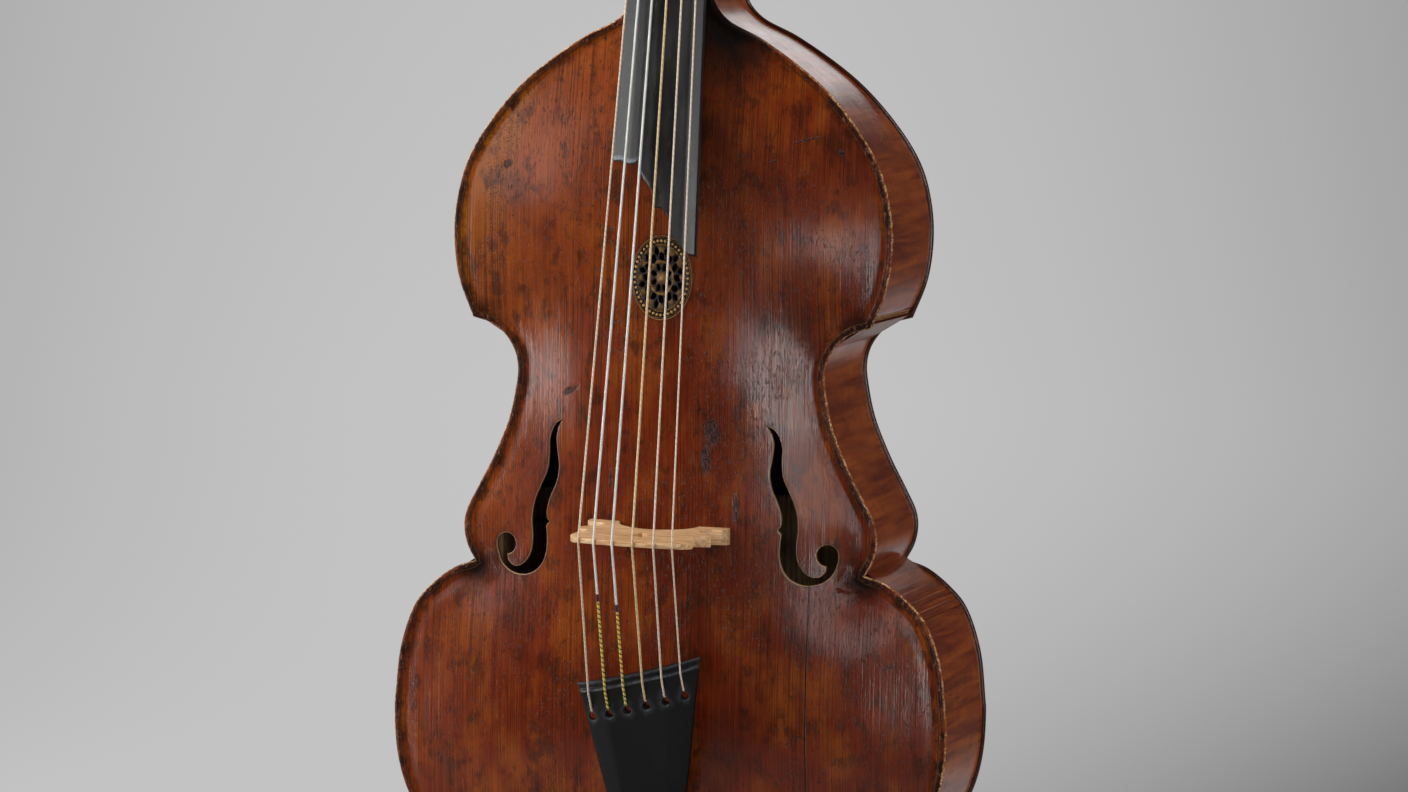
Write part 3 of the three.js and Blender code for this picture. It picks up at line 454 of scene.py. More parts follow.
def make(name, shape, material, nodes, body="body", sharp=38, values=None):
    """A finished piece: mesh, material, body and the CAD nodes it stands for."""
    verts, faces = shape
    mesh = bpy.data.meshes.new(name)
    mesh.from_pydata((np.asarray(verts) * MM).tolist(), [], faces)
    for key, value in (values or {}).items():
        kind = "FLOAT" if np.ndim(value) == 1 else "FLOAT_VECTOR"
        attribute = mesh.attributes.new(key, kind, "POINT")
        attribute.data.foreach_set("value" if kind == "FLOAT" else "vector",
                                   np.asarray(value, np.float32).ravel())
    mesh.materials.append(material)
    mesh.validate()
    mesh.shade_smooth()
    mesh.set_sharp_from_angle(angle=math.radians(sharp))
    piece = in_scene(name, mesh)
    outward(mesh)
    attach(piece, body)
    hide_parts(*nodes)
    return piece


def outward(mesh):
    """Turns every closed part's faces outwards."""
    work = bmesh.new()
    work.from_mesh(mesh)
    bmesh.ops.recalc_face_normals(work, faces=work.faces)
    work.to_mesh(mesh)
    work.free()


# ---- surfaces ----
def rgb(text):
    """Linear colour from a hex code."""
    levels = [int(text[i:i + 2], 16) / 255 for i in (1, 3, 5)]
    linear = [v / 12.92 if v <= 0.04045 else ((v + 0.055) / 1.055) ** 2.4 for v in levels]
    return (*linear, 1.0)


class Nodes:
    """Short names for the nodes of a shader under construction."""

    def __init__(self, tree, place):
        self.tree = tree
        self.place = self.node("ShaderNodeTexCoord").outputs[place]

    def feed(self, socket, value):
        if isinstance(value, bpy.types.NodeSocket):
            self.tree.links.new(value, socket)
        else:
            socket.default_value = rgb(value) if isinstance(value, str) else value

    def node(self, kind, inputs=None, **settings):
        node = self.tree.nodes.new(kind)
        for key, value in settings.items():
            setattr(node, key, value)
        for key, value in (inputs or {}).items():
            self.feed(node.inputs[key], value)
        return node

    def noise(self, stretch, detail=3.0, rough=0.55, distortion=0.0, place=None, shift=(0, 0, 0)):
        """Noise whose features repeat stretch times a metre along each axis."""
        vector = self.node("ShaderNodeMapping", {"Vector": place or self.place, "Scale": stretch,
                                                 "Location": shift}).outputs[0]
        return self.node("ShaderNodeTexNoise", {"Vector": vector, "Scale": 1.0, "Detail": detail,
                                                "Roughness": rough,
                                                "Distortion": distortion}).outputs[0]

    def math(self, operation, a, b=0.0, clamp=False):
        return self.node("ShaderNodeMath", {0: a, 1: b}, operation=operation,
                         use_clamp=clamp).outputs[0]

    def plus(self, a, b):
        return self.math("ADD", a, b)

    def minus(self, a, b):
        return self.math("SUBTRACT", a, b)

    def times(self, a, b, clamp=False):
        return self.math("MULTIPLY", a, b, clamp)

    def most(self, a, b):
        return self.math("MAXIMUM", a, b)

    def least(self, a, b):
        return self.math("MINIMUM", a, b)

    def between(self, value, low, high, start=0.0, end=1.0):
        """Smooth step from start to end as a value goes from low to high."""
        return self.node("ShaderNodeMapRange", {"Value": value, "From Min": low, "From Max": high,
                                                "To Min": start, "To Max": end},
                         interpolation_type="SMOOTHSTEP").outputs[0]

    def band(self, value, low, high, soft):
        """1 where a value lies between low and high."""
        rise = self.between(value, low - soft, low + soft)
        fall = self.between(value, high - soft, high + soft, 1.0, 0.0)
        return self.times(rise, fall)

    def mix(self, factor, a, b):
        """Colour a where the factor is 0, colour b where it is 1."""
        node = self.node("ShaderNodeMix", data_type="RGBA")
        self.feed(node.inputs[0], factor)
        self.feed(node.inputs[6], a)
        self.feed(node.inputs[7], b)
        return node.outputs[2]

    def value(self, name):
        """A number stored on the mesh."""
        return self.node("ShaderNodeAttribute", attribute_name=name).outputs["Fac"]

    def vector(self, name):
        return self.node("ShaderNodeAttribute", attribute_name=name).outputs["Vector"]

    def axes(self, vector=None):
        return self.node("ShaderNodeSeparateXYZ", {0: vector or self.place}).outputs

    def spot(self, centre, size, turn=0.0):
        """1 in the middle of an oval spot on the front, 0 outside it; centre and size in mm."""
        vector = self.node("ShaderNodeMapping", {
            "Vector": self.flat_place(), "Location": (centre[0] * MM, 0, (BRIDGE_Z + centre[1]) * MM),
            "Rotation": (0, -turn, 0), "Scale": (size[0] * MM, 1, size[1] * MM)},
            vector_type="TEXTURE").outputs[0]
        return self.node("ShaderNodeTexGradient", {0: vector}, gradient_type="SPHERICAL").outputs[1]

    def flat_place(self):
        """Coordinates with the depth left out."""
        x, _, z = self.axes()
        return self.node("ShaderNodeCombineXYZ", {0: x, 2: z}).outputs[0]

    def bump(self, height, distance, below=None):
        """Adds relief of a height field, in metres."""
        inputs = {"Height": height, "Distance": distance}
        if below is not None:
            inputs["Normal"] = below
        return self.node("ShaderNodeBump", inputs).outputs[0]


class Look(Nodes):
    """A procedural material. Coordinates are the part's own, in metres."""

    def __init__(self, name, **shader):
        self.material = bpy.data.materials.new(name)
        self.material.use_nodes = True
        super().__init__(self.material.node_tree, "Object")
        self.shader = self.tree.nodes["Principled BSDF"]
        self.colour = None
        for key, value in shader.items():
            self.set(key.replace("_", " "), value)

    def set(self, socket, value):
        self.feed(self.shader.inputs[socket], value)

    def lay(self, mask, tone):
        """Lays a tone over the colour so far, as thickly as the mask says."""
        self.colour = self.mix(mask, self.colour, tone)

    def finished(self, relief, rough=None):
        """The material, with its colour, roughness and relief in place."""
        self.set("Base Color", self.colour)
        if rough is not None:
            self.set("Roughness", rough)
        self.set("Normal", relief)
        return self.material


# painted shade: the inside faces of the top, back and ribs are drawn near-black so the sound box looks
# dark through its holes
INSIDE_SHADE = "#170f09"


def amber_ground(look, x, z):
    """Amber near the left edge, red-brown elsewhere, both in patches."""
    broad = look.noise((7, 7, 3.5), 4)
    patch = look.noise((19, 19, 10), 5, 0.6, shift=(3, 1, 7))
    cloud = look.noise((52, 52, 34), 5, 0.65, shift=(8, 3, 2))
    amber = look.minus(look.times(broad, 1.2), look.times(x, 1.7))
    amber = look.plus(amber, look.times(z, 1.1))
    gold = look.minus(amber, look.times(x, 2.3))
    look.colour = look.mix(look.between(amber, 1.2, 2.1), "#742204", "#8e3c08")
    look.lay(look.between(gold, 2.4, 2.95), "#9e5a0b")
    look.lay(look.between(patch, 0.46, 0.66, 0.0, 0.75), "#9c4a0b")
    look.lay(look.between(patch, 0.30, 0.47, 0.7, 0.0), "#4a1303")
    look.lay(look.between(cloud, 0.50, 0.64, 0.0, 0.68), "#361305")
    return gold, patch


def spruce_grain(look, gold):
    """Dark grain lines a couple of millimetres apart, with paler wood, flecks and crackle between."""
    flat = look.flat_place()
    grain = look.noise((620, 1, 3), 2, 0.6, place=flat)
    fine = look.noise((1400, 1, 9), 2, 0.6, place=flat)
    faint = look.between(look.noise((11, 1, 9), 3, place=flat, shift=(4, 0, 8)), 0.36, 0.62, 0.3, 0.8)
    lines = look.times(look.between(grain, 0.34, 0.60, 1.0, 0.0), faint)
    look.lay(lines, "#3a1203")
    look.lay(look.between(fine, 0.50, 0.68, 0.0, 0.25), "#b0601c")
    fleck = look.noise((560, 1, 120), 3, 0.7, place=flat, shift=(2, 5, 1))
    dirty = look.noise((14, 14, 6), 3, shift=(9, 2, 4))
    flecks = look.times(look.between(fleck, 0.565, 0.645), look.between(dirty, 0.36, 0.56))
    look.lay(look.times(flecks, 0.95), "#180803")
    # crackled varnish: short cross marks where the amber is worn thin
    crackle = look.noise((210, 1, 620), 3, 0.7, place=flat, shift=(6, 1, 3))
    crackled = look.times(look.between(gold, 2.4, 2.8), look.between(dirty, 0.30, 0.50))
    crackle = look.times(look.between(crackle, 0.50, 0.62), crackled)
    look.lay(look.times(crackle, 0.8), "#2a1004")
    return grain, fleck, flecks


def worn_rim(look, edge):
    """From the outside inwards: bare wood, a bruised band, the inlaid lines and grime."""
    slow = look.noise((9, 9, 9), 2, shift=(6, 6, 6))
    ragged = look.noise((150, 150, 150), 4, 0.7)
    chipped = look.plus(edge, look.times(look.minus(ragged, 0.5), 2.4))
    mottle = look.noise((48, 48, 48), 4, 0.65, shift=(7, 7, 1))
    grime = look.times(look.between(chipped, 9.0, 24.0, 1.0, 0.0), look.between(mottle, 0.44, 0.66))
    for centre, size in (((232, 238), (36, 30)), ((236, -50), (40, 32))):
        for side in (-1, 1):
            spot = look.spot((side * centre[0], centre[1]), size)
            grime = look.most(grime, look.times(spot, look.between(mottle, 0.3, 0.5, 0.7, 1.7)))
    look.lay(look.times(grime, 0.8, clamp=True), "#1d0f0a")
    inlay = look.band(edge, 6.6, 8.9, 0.3)
    look.lay(look.times(inlay, 0.8), "#150a06")
    look.lay(look.times(look.band(edge, 7.4, 8.1, 0.2), 0.6), "#7a4a22")
    bruise = look.times(look.band(chipped, 2.2, 6.2, 0.9), look.between(mottle, 0.36, 0.56, 0.35, 0.95))
    look.lay(bruise, "#27130f")
    scuff = look.noise((300, 300, 110), 4, 0.75, shift=(1, 9, 9))
    scuff = look.times(look.between(scuff, 0.55, 0.64), look.band(edge, 1.8, 7.6, 0.8))
    look.lay(look.times(scuff, 0.7), "#8c5c48")
    worn = look.between(chipped, 1.0, 2.1, 1.0, 0.0)
    worn = look.times(worn, look.between(slow, 0.36, 0.60, 0.45, 1.0))
    worn = look.times(worn, look.between(mottle, 0.36, 0.52, 0.25, 1.0))
    chips = look.between(look.noise((330, 330, 330), 3, 0.7), 0.44, 0.60)
    look.lay(worn, look.mix(chips, "#94551f", "#ecc496"))
    return grime, inlay, worn


def damage_and_board_shadow(look, x, z, fleck):
    """A painted shadow of the fingerboard on the top by the heel, one crack, and scratches and knocks."""
    # painted shadow: a dark oval where the fingerboard's shadow falls on the top beside the heel
    board_shadow = look.spot((70, 600), (66, 100))
    look.lay(look.times(board_shadow, 1.6, clamp=True), "#1a0d07")
    crack_x = look.plus(0.173, look.times(look.noise((2, 2, 9), 3), 0.004))
    crack = look.between(look.math("ABSOLUTE", look.minus(x, crack_x)), 0.0004, 0.0011, 1.0, 0.0)
    crack = look.times(crack, look.between(z, 0.53, 0.555, 1.0, 0.0))
    for centre, size, turn in KNOCKS:
        mark = look.times(look.spot(centre, size, turn), 2.0, clamp=True)
        crack = look.most(crack, look.times(mark, look.between(fleck, 0.34, 0.56)))
    look.lay(crack, "#170a05")
    return crack


def top_varnish():
    """Old oil varnish on spruce: amber bouts, redder middle, dark grain, grime and worn edges, with a
    painted shadow by the heel and painted shade on the inside face.
    """
    look = Look("top_varnish", Specular_IOR_Level=0.05, Coat_Roughness=0.17, Coat_IOR=1.5)
    x, _, z = look.axes()
    edge = look.value("edge")
    hole = look.value("hole")
    gold, patch = amber_ground(look, x, z)
    grain, fleck, flecks = spruce_grain(look, gold)
    grime, inlay, worn = worn_rim(look, edge)
    # a pale cut line and a dark halo at the sound holes
    look.lay(look.between(hole, 1.0, 7.0, 0.35, 0.0), "#2c0f05")
    look.lay(look.between(hole, 0.4, 1.0, 0.85, 0.0), "#cda37a")
    crack = damage_and_board_shadow(look, x, z, fleck)
    # painted shade: the inside face is drawn near-black
    look.lay(look.value("inner"), INSIDE_SHADE)
    rough = look.between(patch, 0.3, 0.7, 0.42, 0.54)
    rough = look.plus(rough, look.times(look.most(grime, worn), 0.15))
    rough = look.plus(rough, look.between(grain, 0.4, 0.62, 0.06, 0.0))
    relief = look.bump(look.minus(grain, look.times(flecks, 0.8)), 0.0002)
    relief = look.bump(look.noise((85, 85, 42), 3), 0.00028, relief)
    relief = look.bump(look.most(crack, look.times(inlay, 0.5)), -0.0003, relief)
    look.set("Coat Normal", relief)
    # the varnish has lost its shine where it is dirty, and along the edge
    dull = look.most(look.least(grime, 1.0), look.between(edge, 9.0, 20.0, 0.75, 0.0))
    look.set("Coat Weight", look.between(dull, 0.0, 1.0, 0.5, 0.06))
    return look.finished(relief, rough)


def flamed_maple(name, dark="#611d04", light="#a24d0e", bent=False, edged=False):
    """Varnished maple with flames across the grain; bent wood has its own grain coordinates, and
    an edged plate has a dark rim and an inlaid line."""
    look = Look(name, Specular_IOR_Level=0.1, Coat_Weight=0.62, Coat_Roughness=0.17, Coat_IOR=1.5)
    place = look.vector("grain") if bent else look.place
    stretch = (95, 7, 1) if bent else (8, 14, 95)
    flame = look.noise(stretch, 3, 0.6, 0.6, place=place)
    slow = look.noise(tuple(s * 0.35 for s in stretch), 2, 0.5, 0.4, place=place, shift=(1, 2, 3))
    bands = look.times(look.plus(flame, slow), 0.5)
    look.colour = look.mix(look.between(bands, 0.36, 0.66), dark, light)
    fibre = look.noise((9, 900, 1) if bent else (900, 900, 12), 2, 0.6, place=place)
    look.lay(look.between(fibre, 0.35, 0.5, 0.45, 0.0), "#331003")
    blotch = look.noise((8, 8, 8), 4, 0.6, shift=(5, 1, 2))
    look.lay(look.between(blotch, 0.35, 0.7, 0.0, 0.5), "#7a3008")
    wear = look.noise((30, 30, 30), 4, 0.65, shift=(2, 8, 3))
    look.lay(look.between(wear, 0.62, 0.76, 0.0, 0.6), "#2a1007")
    if edged:
        edge = look.value("edge")
        ragged = look.noise((60, 60, 60), 4, 0.65)
        worn = look.between(look.plus(edge, look.times(ragged, 3.0)), 4.6, 7.0, 1.0, 0.0)
        look.lay(look.times(worn, 0.8), "#34150a")
        inlay = look.band(edge, 11.2, 13.2, 0.25)
        look.lay(look.times(inlay, 0.85), "#140a06")
    # painted shade: the inside faces are drawn near-black
    look.lay(look.value("inner"), INSIDE_SHADE)
    relief = look.bump(fibre, 0.00012, look.bump(bands, 0.0001))
    return look.finished(relief, look.between(wear, 0.3, 0.7, 0.26, 0.42))


def raw_spruce():
    look = Look("raw_spruce", Roughness=0.72)
    grain = look.noise((300, 300, 6), 3)
    look.colour = look.mix(look.between(grain, 0.38, 0.6), "#9c6b3a", "#d2a873")
    blotch = look.noise((14, 14, 10), 4)
    look.lay(look.between(blotch, 0.4, 0.7, 0.0, 0.5), "#8a5f38")
    return look.finished(look.bump(grain, 0.0003))


def ebony(name, dust, rough, shine):
    """Satin black wood with fine pores; dust is how grey it has become."""
    look = Look(name, Specular_IOR_Level=shine)
    pores = look.noise((1100, 1100, 22), 3, 0.65)
    cloud = look.noise((26, 26, 9), 4, 0.6)
    rubbed = look.noise((420, 420, 8.4), 4, 0.7, shift=(1, 4, 2))
    look.colour = look.mix(look.between(pores, 0.40, 0.62), "#030303", "#0b0a0a")
    look.lay(look.between(cloud, 0.35, 0.72, 0.0, dust), "#3a3938")
    look.lay(look.between(rubbed, 0.58, 0.74, 0.0, dust), "#5f5d59")
    # pale bluish-grey where the mesh marks a rim: a painted highlight along the tailpiece's ridge, top
    # edge and keyholes, and rubbed wear at the bass end of the fingerboard
    rim = look.times(look.value("rim"), look.between(rubbed, 0.36, 0.56, 0.2, 0.8))
    look.lay(rim, "#6a7078")
    return look.finished(look.bump(pores, 0.00008), look.between(cloud, 0.3, 0.7, rough, rough + 0.12))


def bridge_maple():
    look = Look("bridge_maple", Roughness=0.5, Coat_Weight=0.1, Coat_Roughness=0.4)
    grain = look.noise((28, 260, 420), 3, 0.6, 0.3)
    rays = look.noise((60, 700, 300), 3, 0.7, shift=(3, 3, 3))
    look.colour = look.mix(look.between(grain, 0.34, 0.62), "#cf9560", "#f6cb98")
    look.lay(look.between(rays, 0.60, 0.70, 0.0, 0.6), "#94602f")
    soil = look.noise((45, 45, 45), 4, 0.6, shift=(1, 7, 5))
    look.lay(look.between(soil, 0.55, 0.75, 0.0, 0.5), "#a06a3a")
    return look.finished(look.bump(grain, 0.0002))


def wrapped(name, core, groove, metal, rough, pitch=0.0009, silk=False):
    """A string: gut twist or metal winding, with striped silk where the mesh says so."""
    look = Look(name, Coat_Weight=0.05)
    cos, sin, along = look.axes(look.vector("wrap"))

    def spiral(turn):
        phase = look.times(along, TAU / turn)
        return look.plus(look.times(look.math("SINE", phase), cos),
                         look.times(look.math("COSINE", phase), sin))
    ridges = spiral(pitch)
    wear = look.noise((40, 40, 40), 3)
    look.colour = look.mix(look.between(ridges, -1.0, 0.2, 0.42, 0.0), core, groove)
    look.lay(look.between(wear, 0.45, 0.75, 0.0, 0.25), groove)
    if silk:
        below = look.value("silk")
        wrapped_in = look.between(below, -0.5, 0.5)
        stripes = look.between(spiral(0.0062), -0.70, -0.50)
        thread = look.noise((700, 700, 700), 2)
        two = look.mix(stripes, "#14161a", look.mix(thread, "#e8c23a", "#fff07c"))
        two = look.mix(look.between(below, 9.0, 10.0, 1.0, 0.0), two, "#232b45")
        look.lay(wrapped_in, two)
        metal = look.times(look.minus(1.0, wrapped_in), metal)
        rough = look.between(below, -0.5, 0.5, rough, 0.75)
    else:
        rough = look.between(wear, 0.3, 0.7, rough, rough + 0.12)
    look.set("Metallic", metal)
    return look.finished(look.bump(ridges, 0.00006), rough)


def metal(name, tone, dull, rough):
    look = Look(name, Metallic=1.0)
    brushed = look.noise((60, 60, 900), 3, 0.6)
    tarnish = look.noise((70, 70, 50), 4, 0.6)
    look.colour = look.mix(look.between(tarnish, 0.42, 0.68, 0.0, 0.7), tone, dull)
    return look.finished(look.bump(brushed, 0.00005), look.between(brushed, 0.3, 0.7, rough, rough + 0.16))


def rubber():
    look = Look("rubber", Roughness=0.78)
    speck = look.noise((500, 500, 500), 3, 0.7)
    scuff = look.noise((90, 90, 40), 4, 0.6)
    look.colour = look.mix(look.between(scuff, 0.5, 0.7), "#161616", "#3a3836")
    look.lay(look.between(speck, 0.4, 0.7, 0.0, 0.3), "#4a4845")
    return look.finished(look.bump(speck, 0.0002))


def gilding():
    """Old gold leaf, rubbed bright on what stands up and black in the hollows."""
    look = Look("gilding", Specular_IOR_Level=0.4)
    height = look.value("relief")
    rub = look.noise((260, 260, 260), 4, 0.7)
    raised = look.plus(height, look.times(look.minus(rub, 0.5), 1.3))
    gold = look.between(raised, 0.35, 0.95)
    look.colour = look.mix(gold, "#1c0f07", "#7a5524")
    look.lay(look.between(raised, 0.9, 1.35), "#b8925a")
    look.set("Metallic", look.times(gold, 0.45))
    return look.finished(look.bump(rub, 0.0003), look.between(rub, 0.3, 0.7, 0.38, 0.6))


def paper_floor():
    look = Look("pale_floor", Roughness=0.9)
    tone = look.noise((3, 3, 3), 4)
    look.colour = look.mix(tone, "#a9a9a8", "#b4b4b3")
    return look.finished(look.bump(look.noise((400, 400, 400), 2), 0.0001))


TOP = top_varnish()
BACK = flamed_maple("back_varnish", edged=True)
RIBS = flamed_maple("rib_varnish", bent=True)
NECK = flamed_maple("neck_varnish", "#4a1505", "#7c3a12")
SPRUCE = raw_spruce()
BOARD = ebony("board_ebony", 0.55, 0.33, 0.75)
BLACK = ebony("fitting_ebony", 0.06, 0.36, 0.25)
MAPLE = bridge_maple()
THICK_GUT = wrapped("thick_gut", "#efdac0", "#b8937e", 0.0, 0.42, 0.006)
SILVER = wrapped("silver_winding", "#fbfaf4", "#bdbbb2", 0.35, 0.30, 0.0008, silk=True)
GOLD_GUT = wrapped("golden_gut", "#ecd0a0", "#c09a60", 0.0, 0.36, 0.007)
PALE_GUT = wrapped("pale_gut", "#f2dfc6", "#c4ac8c", 0.0, 0.38, 0.007)
CORD = wrapped("tail_cord", "#2a211b", "#0f0c0a", 0.0, 0.55, 0.006)
STEEL = metal("steel", "#b9babd", "#77777a", 0.24)
BRASS = metal("brass", "#b8923f", "#6f5524", 0.28)
RUBBER = rubber()
GILT = gilding()


# ---- top plate ----
def sound_hole():
    step = 1.6
    outer = spaced(curve_through(HOLE_OUTER, 150), step)
    turn = np.radians(-95 - 22 * np.linspace(0, 12, 40))
    eye = columns(EYE[0] + EYE_RADIUS * np.cos(turn), EYE[1] + EYE_RADIUS * np.sin(turn))
    inner = spaced(curve_through(HOLE_INNER, 180), step)
    return np.vstack([outer, eye, inner]) + (0, BRIDGE_Z)


def oval(half_width, half_height, count):
    a = TAU * np.arange(count) / count
    return columns(half_width * np.cos(a), BRIDGE_Z + ROSETTE_Z + half_height * np.sin(a))


def top_plate():
    hole = sound_hole()
    rose = oval(ROSETTE_HALF[0] + GAP, ROSETTE_HALF[1] + GAP, 96)
    flat = Flat(body_outline(3.2), [hole, mirrored(hole), rose],
                rings=(0.5, 1.3, 2.4, 4.2, 6.2, 7.7, 9.4, 12, 16, 22), hole_rings=(0.5, 1.2, 3.5),
                step=7.5)
    height = arch(flat.x, flat.z)
    crest = 1.3 * np.exp(-((flat.edge - 5) / 3) ** 2) - 1.5 * np.exp(-((flat.edge - 14) / 5) ** 2)
    front_y = EDGE_FRONT - height - crest + rounded(flat.edge, 3) + rounded(flat.hole, 0.8)
    back_y = RIB_FRONT - height - 0.15 - rounded(flat.edge, 2.8) - rounded(flat.hole, 0.6)
    make("carved_top", flat.plate(front_y, back_y), TOP, ["top_plate"],
         values={"edge": np.tile(flat.edge, 2), "hole": np.tile(flat.hole, 2),
                 "inner": np.repeat([0.0, 1.0], len(flat.x))})


top_plate()


# ---- flat back with its bend and button ----
BACK_SLOPE = (RIB_BACK - HEEL_BACK) / (BODY_TOP - BACK_BREAK_Z)


def back_at(z):
    """Depth of the ribs' back edge; the bend is eased over 30 mm."""
    above = np.asarray(z, float) - BACK_BREAK_Z
    eased = np.where(abs(above) < 15, (above + 15) ** 2 / 60, np.maximum(above, 0))
    return RIB_BACK - eased * BACK_SLOPE


def back_plate():
    half = 30
    shoulder = half_outline(3.6)[2][-1]
    angle = np.linspace(0, math.pi, 31)
    button = columns(half * np.cos(angle), BODY_TOP + (BUTTON_TOP - BODY_TOP) * np.sin(angle))
    flat = Flat(body_outline(3.6, [shoulder, *button, shoulder * (-1, 1)]),
                rings=(0.4, 1.0, 1.8, 3, 6, 10.6, 12.2, 13.8, 20), step=14)
    against_ribs = back_at(flat.z)
    eased = rounded(flat.edge, 2.4)
    shape = flat.plate(against_ribs + GAP + eased, against_ribs + BACK_OUTSIDE - RIB_BACK - eased)
    inside_box = np.where(flat.edge > OVERHANG, 1.0, 0.0)
    make("flat_back", shape, BACK, ["back_plate"],
         values={"edge": np.tile(flat.edge, 2), "inner": np.concatenate([inside_box, inside_box * 0])})


back_plate()


# ---- ribs ----
HALF_CUT = GAP / 2


def rib_paths():
    """Outer and inner line of each rib of the treble side, in the plane of the outline."""
    lines = []
    for distance in (OVERHANG, OVERHANG + RIB_THICK):
        loop = inset(body_outline(3), distance)
        right = loop[loop[:, 0] > HALF_CUT]
        right = right[np.argsort(np.unwrap(np.arctan2(right[:, 1] - 700, right[:, 0])))]
        cuts = [int(np.argmin(np.linalg.norm(right - (x, z + BRIDGE_Z), axis=1)))
                for x, z in (NOTCH, CORNER)]
        top = int(np.argmin(abs(right[:, 0] - 24) + 9 * (right[:, 1] < BODY_TOP - 20)))
        lines.append([right[:cuts[0] + 1], right[cuts[0]:cuts[1] + 1], right[cuts[1]:top + 1]])
    return {bout: (lines[0][i], lines[1][i]) for i, bout in enumerate(("lower", "waist", "upper"))}


def rib(outer, inner, side):
    count = round(run_of(outer)[-1] / 4)
    outer = spaced(outer, count=count)
    inner = spaced(inner, count=count)
    run = run_of(outer)
    rings, grain, inner_side = [], [], []
    depths = np.linspace(0, 1, 13)
    for i in range(count):
        ring = []
        for line, shares in ((outer, depths), (inner, depths[::-1])):
            x, z = line[i]
            front, back = RIB_FRONT + GAP, back_at(z) - GAP
            for t in shares:
                ring.append((side * x, front + (back - front) * t, z))
        rings.append(np.array(ring))
        grain.extend((run[i] * MM, p[1] * MM, side * 2.0) for p in ring)
        inner_side.extend([0.0] * len(depths) + [1.0] * len(depths))
    verts, faces = loft(rings)
    return (verts, faces), {"grain": np.array(grain), "inner": np.array(inner_side)}


for bout, (outer, inner) in rib_paths().items():
    for name, side in (("bass", -1), ("treble", 1)):
        shape, values = rib(outer, inner, side)
        make(f"bent_rib_{bout}_{name}", shape, RIBS, [f"rib_{bout}_{name}"],
             values=values)


# ---- places along the strings and on the tailpiece ----
def tilted(points, origin, angle):
    """Points of a frame leaning about X, in the part's frame."""
    x, y, z = np.asarray(points, float).reshape(-1, 3).T
    c, s = math.cos(angle), math.sin(angle)
    return columns(x, origin[0] + y * c - z * s, origin[1] + y * s + z * c)


def on_strings(points):
    return tilted(points, (EDGE_FRONT - STRING_AT_BRIDGE, BRIDGE_Z), -STRING_SLOPE)


TAIL = {"x": -6.5, "z": -163, "height": 112, "slope": math.atan(0.31), "bottom": -246, "half": 77.1,
        "taper": 0.17}


def on_tail(points):
    placed = tilted(points, (EDGE_FRONT - TAIL["height"], BRIDGE_Z + TAIL["z"]), TAIL["slope"])
    return placed + (TAIL["x"], 0, 0)


# ---- fingerboard and nut ----
BOARD_TOP = [(-55, 14.5), (-26, 4.2), (-13, 1.1), (0, 0), (14, 0.6), (28, 2.6), (41, 6.2), (55, 13.5)]
BOARD_STEPS = [(-80, 443), (-39, 443), (-33, 439.5), (-27, 438.5), (-21, 439.5), (-16.5, 442),
               (-15, 432), (-9, 421), (-3, 414), (2, 407), (4, 399), (5, 389), (15, 388), (22, 380),
               (25, 370), (28, 356), (36, 347), (48, 336), (80, 334)]


def along_board(z):
    return (STRING_LENGTH - z) / (STRING_LENGTH - BOARD_END)


def board_half(z):
    return BOARD_NUT_HALF + (BOARD_END_HALF - BOARD_NUT_HALF) * along_board(z)


def board_crown(z):
    return 1.5 + 9.5 * along_board(z)


def board_under(z):
    return board_crown(z) + 24 * board_half(z) / BOARD_END_HALF


def fingerboard():
    across = np.linspace(-1, 1, 161)
    x_full = across * BOARD_END_HALF
    top = np.interp(x_full, *np.array(BOARD_TOP).T)
    step_x, step_z = np.array(BOARD_STEPS, float).T
    end = np.full(len(across), float(BOARD_END))
    for _ in range(6):
        end = np.interp(across * board_half(end), step_x, step_z)
    far_end = STRING_LENGTH - NUT_THICK - GAP
    rows = []
    for t in np.concatenate([[0, 0.0012, 0.003], np.linspace(0.01, 1, 60)]):
        z = end + (far_end - end) * t
        scale = board_half(z) / BOARD_END_HALF
        bevel = rounded(np.full(len(z), t * 700), 1.6) + rounded((1 - abs(across)) * board_half(z), 1.5)
        upper = board_crown(z) + top * scale + bevel
        hollow = 12 * np.clip((645 - z) / 60, 0, 1) * np.clip(1 - (across / 0.86) ** 2, 0, 1) ** 0.6
        lower = board_crown(z) + 24 * scale - hollow
        x = across * BOARD_END_HALF * scale
        upper_row = columns(x, upper, z)
        lower_row = columns(x * 0.985, lower, z)[::-1]
        rows.append(np.vstack([upper_row, lower_row]))
    verts, faces = loft(rows)
    # the stepped end is not flat, so its cap is a strip of small faces
    ring = len(rows[0])
    steps = range(len(across) - 1)
    faces[-2:-1] = [(i + 1, i, ring - 1 - i, ring - 2 - i) for i in steps]
    rubbed = np.zeros((len(rows), ring))
    rubbed[:3, :len(across)] = np.clip(0.4 - across * 3, 0, 2.2)
    make("shaped_fingerboard", (on_strings(verts), faces), BOARD, ["fingerboard"], sharp=50,
         values={"rim": rubbed.ravel()})


fingerboard()


def nut_string(x):
    return 3 * (x / 31) ** 2


def string_at_nut(s):
    return (s - 2.5) * NUT_SPACING


def nut():
    x = np.linspace(-36, 36, 145)
    groove = sum(1.3 * np.exp(-((x - string_at_nut(s)) / 1.7) ** 2) for s in range(6))
    crest = nut_string(x) + REST - 1.2 + groove
    rows = []
    profile = [(0, 3.2), (0.6, 1.6), (1.8, 0.6), (4, 0), (NUT_THICK - 2, 0), (NUT_THICK - 0.7, 0.7),
               (NUT_THICK, 2)]
    for depth, drop in profile:
        z = STRING_LENGTH - depth
        top = columns(x, crest + drop + rounded(36 - abs(x), 2), z)
        under = columns(x, board_under(STRING_LENGTH), z)[::-1]
        rows.append(np.vstack([top, under]))
    make("grooved_nut", placed(loft(rows), on_strings), BLACK, ["nut"])


nut()


# ---- neck and heel ----
HEEL_PLAIN = 31
HEEL_CURVE = 116
NECK_RISE = 470
TENON = (22, 1188, BODY_TOP + 3)


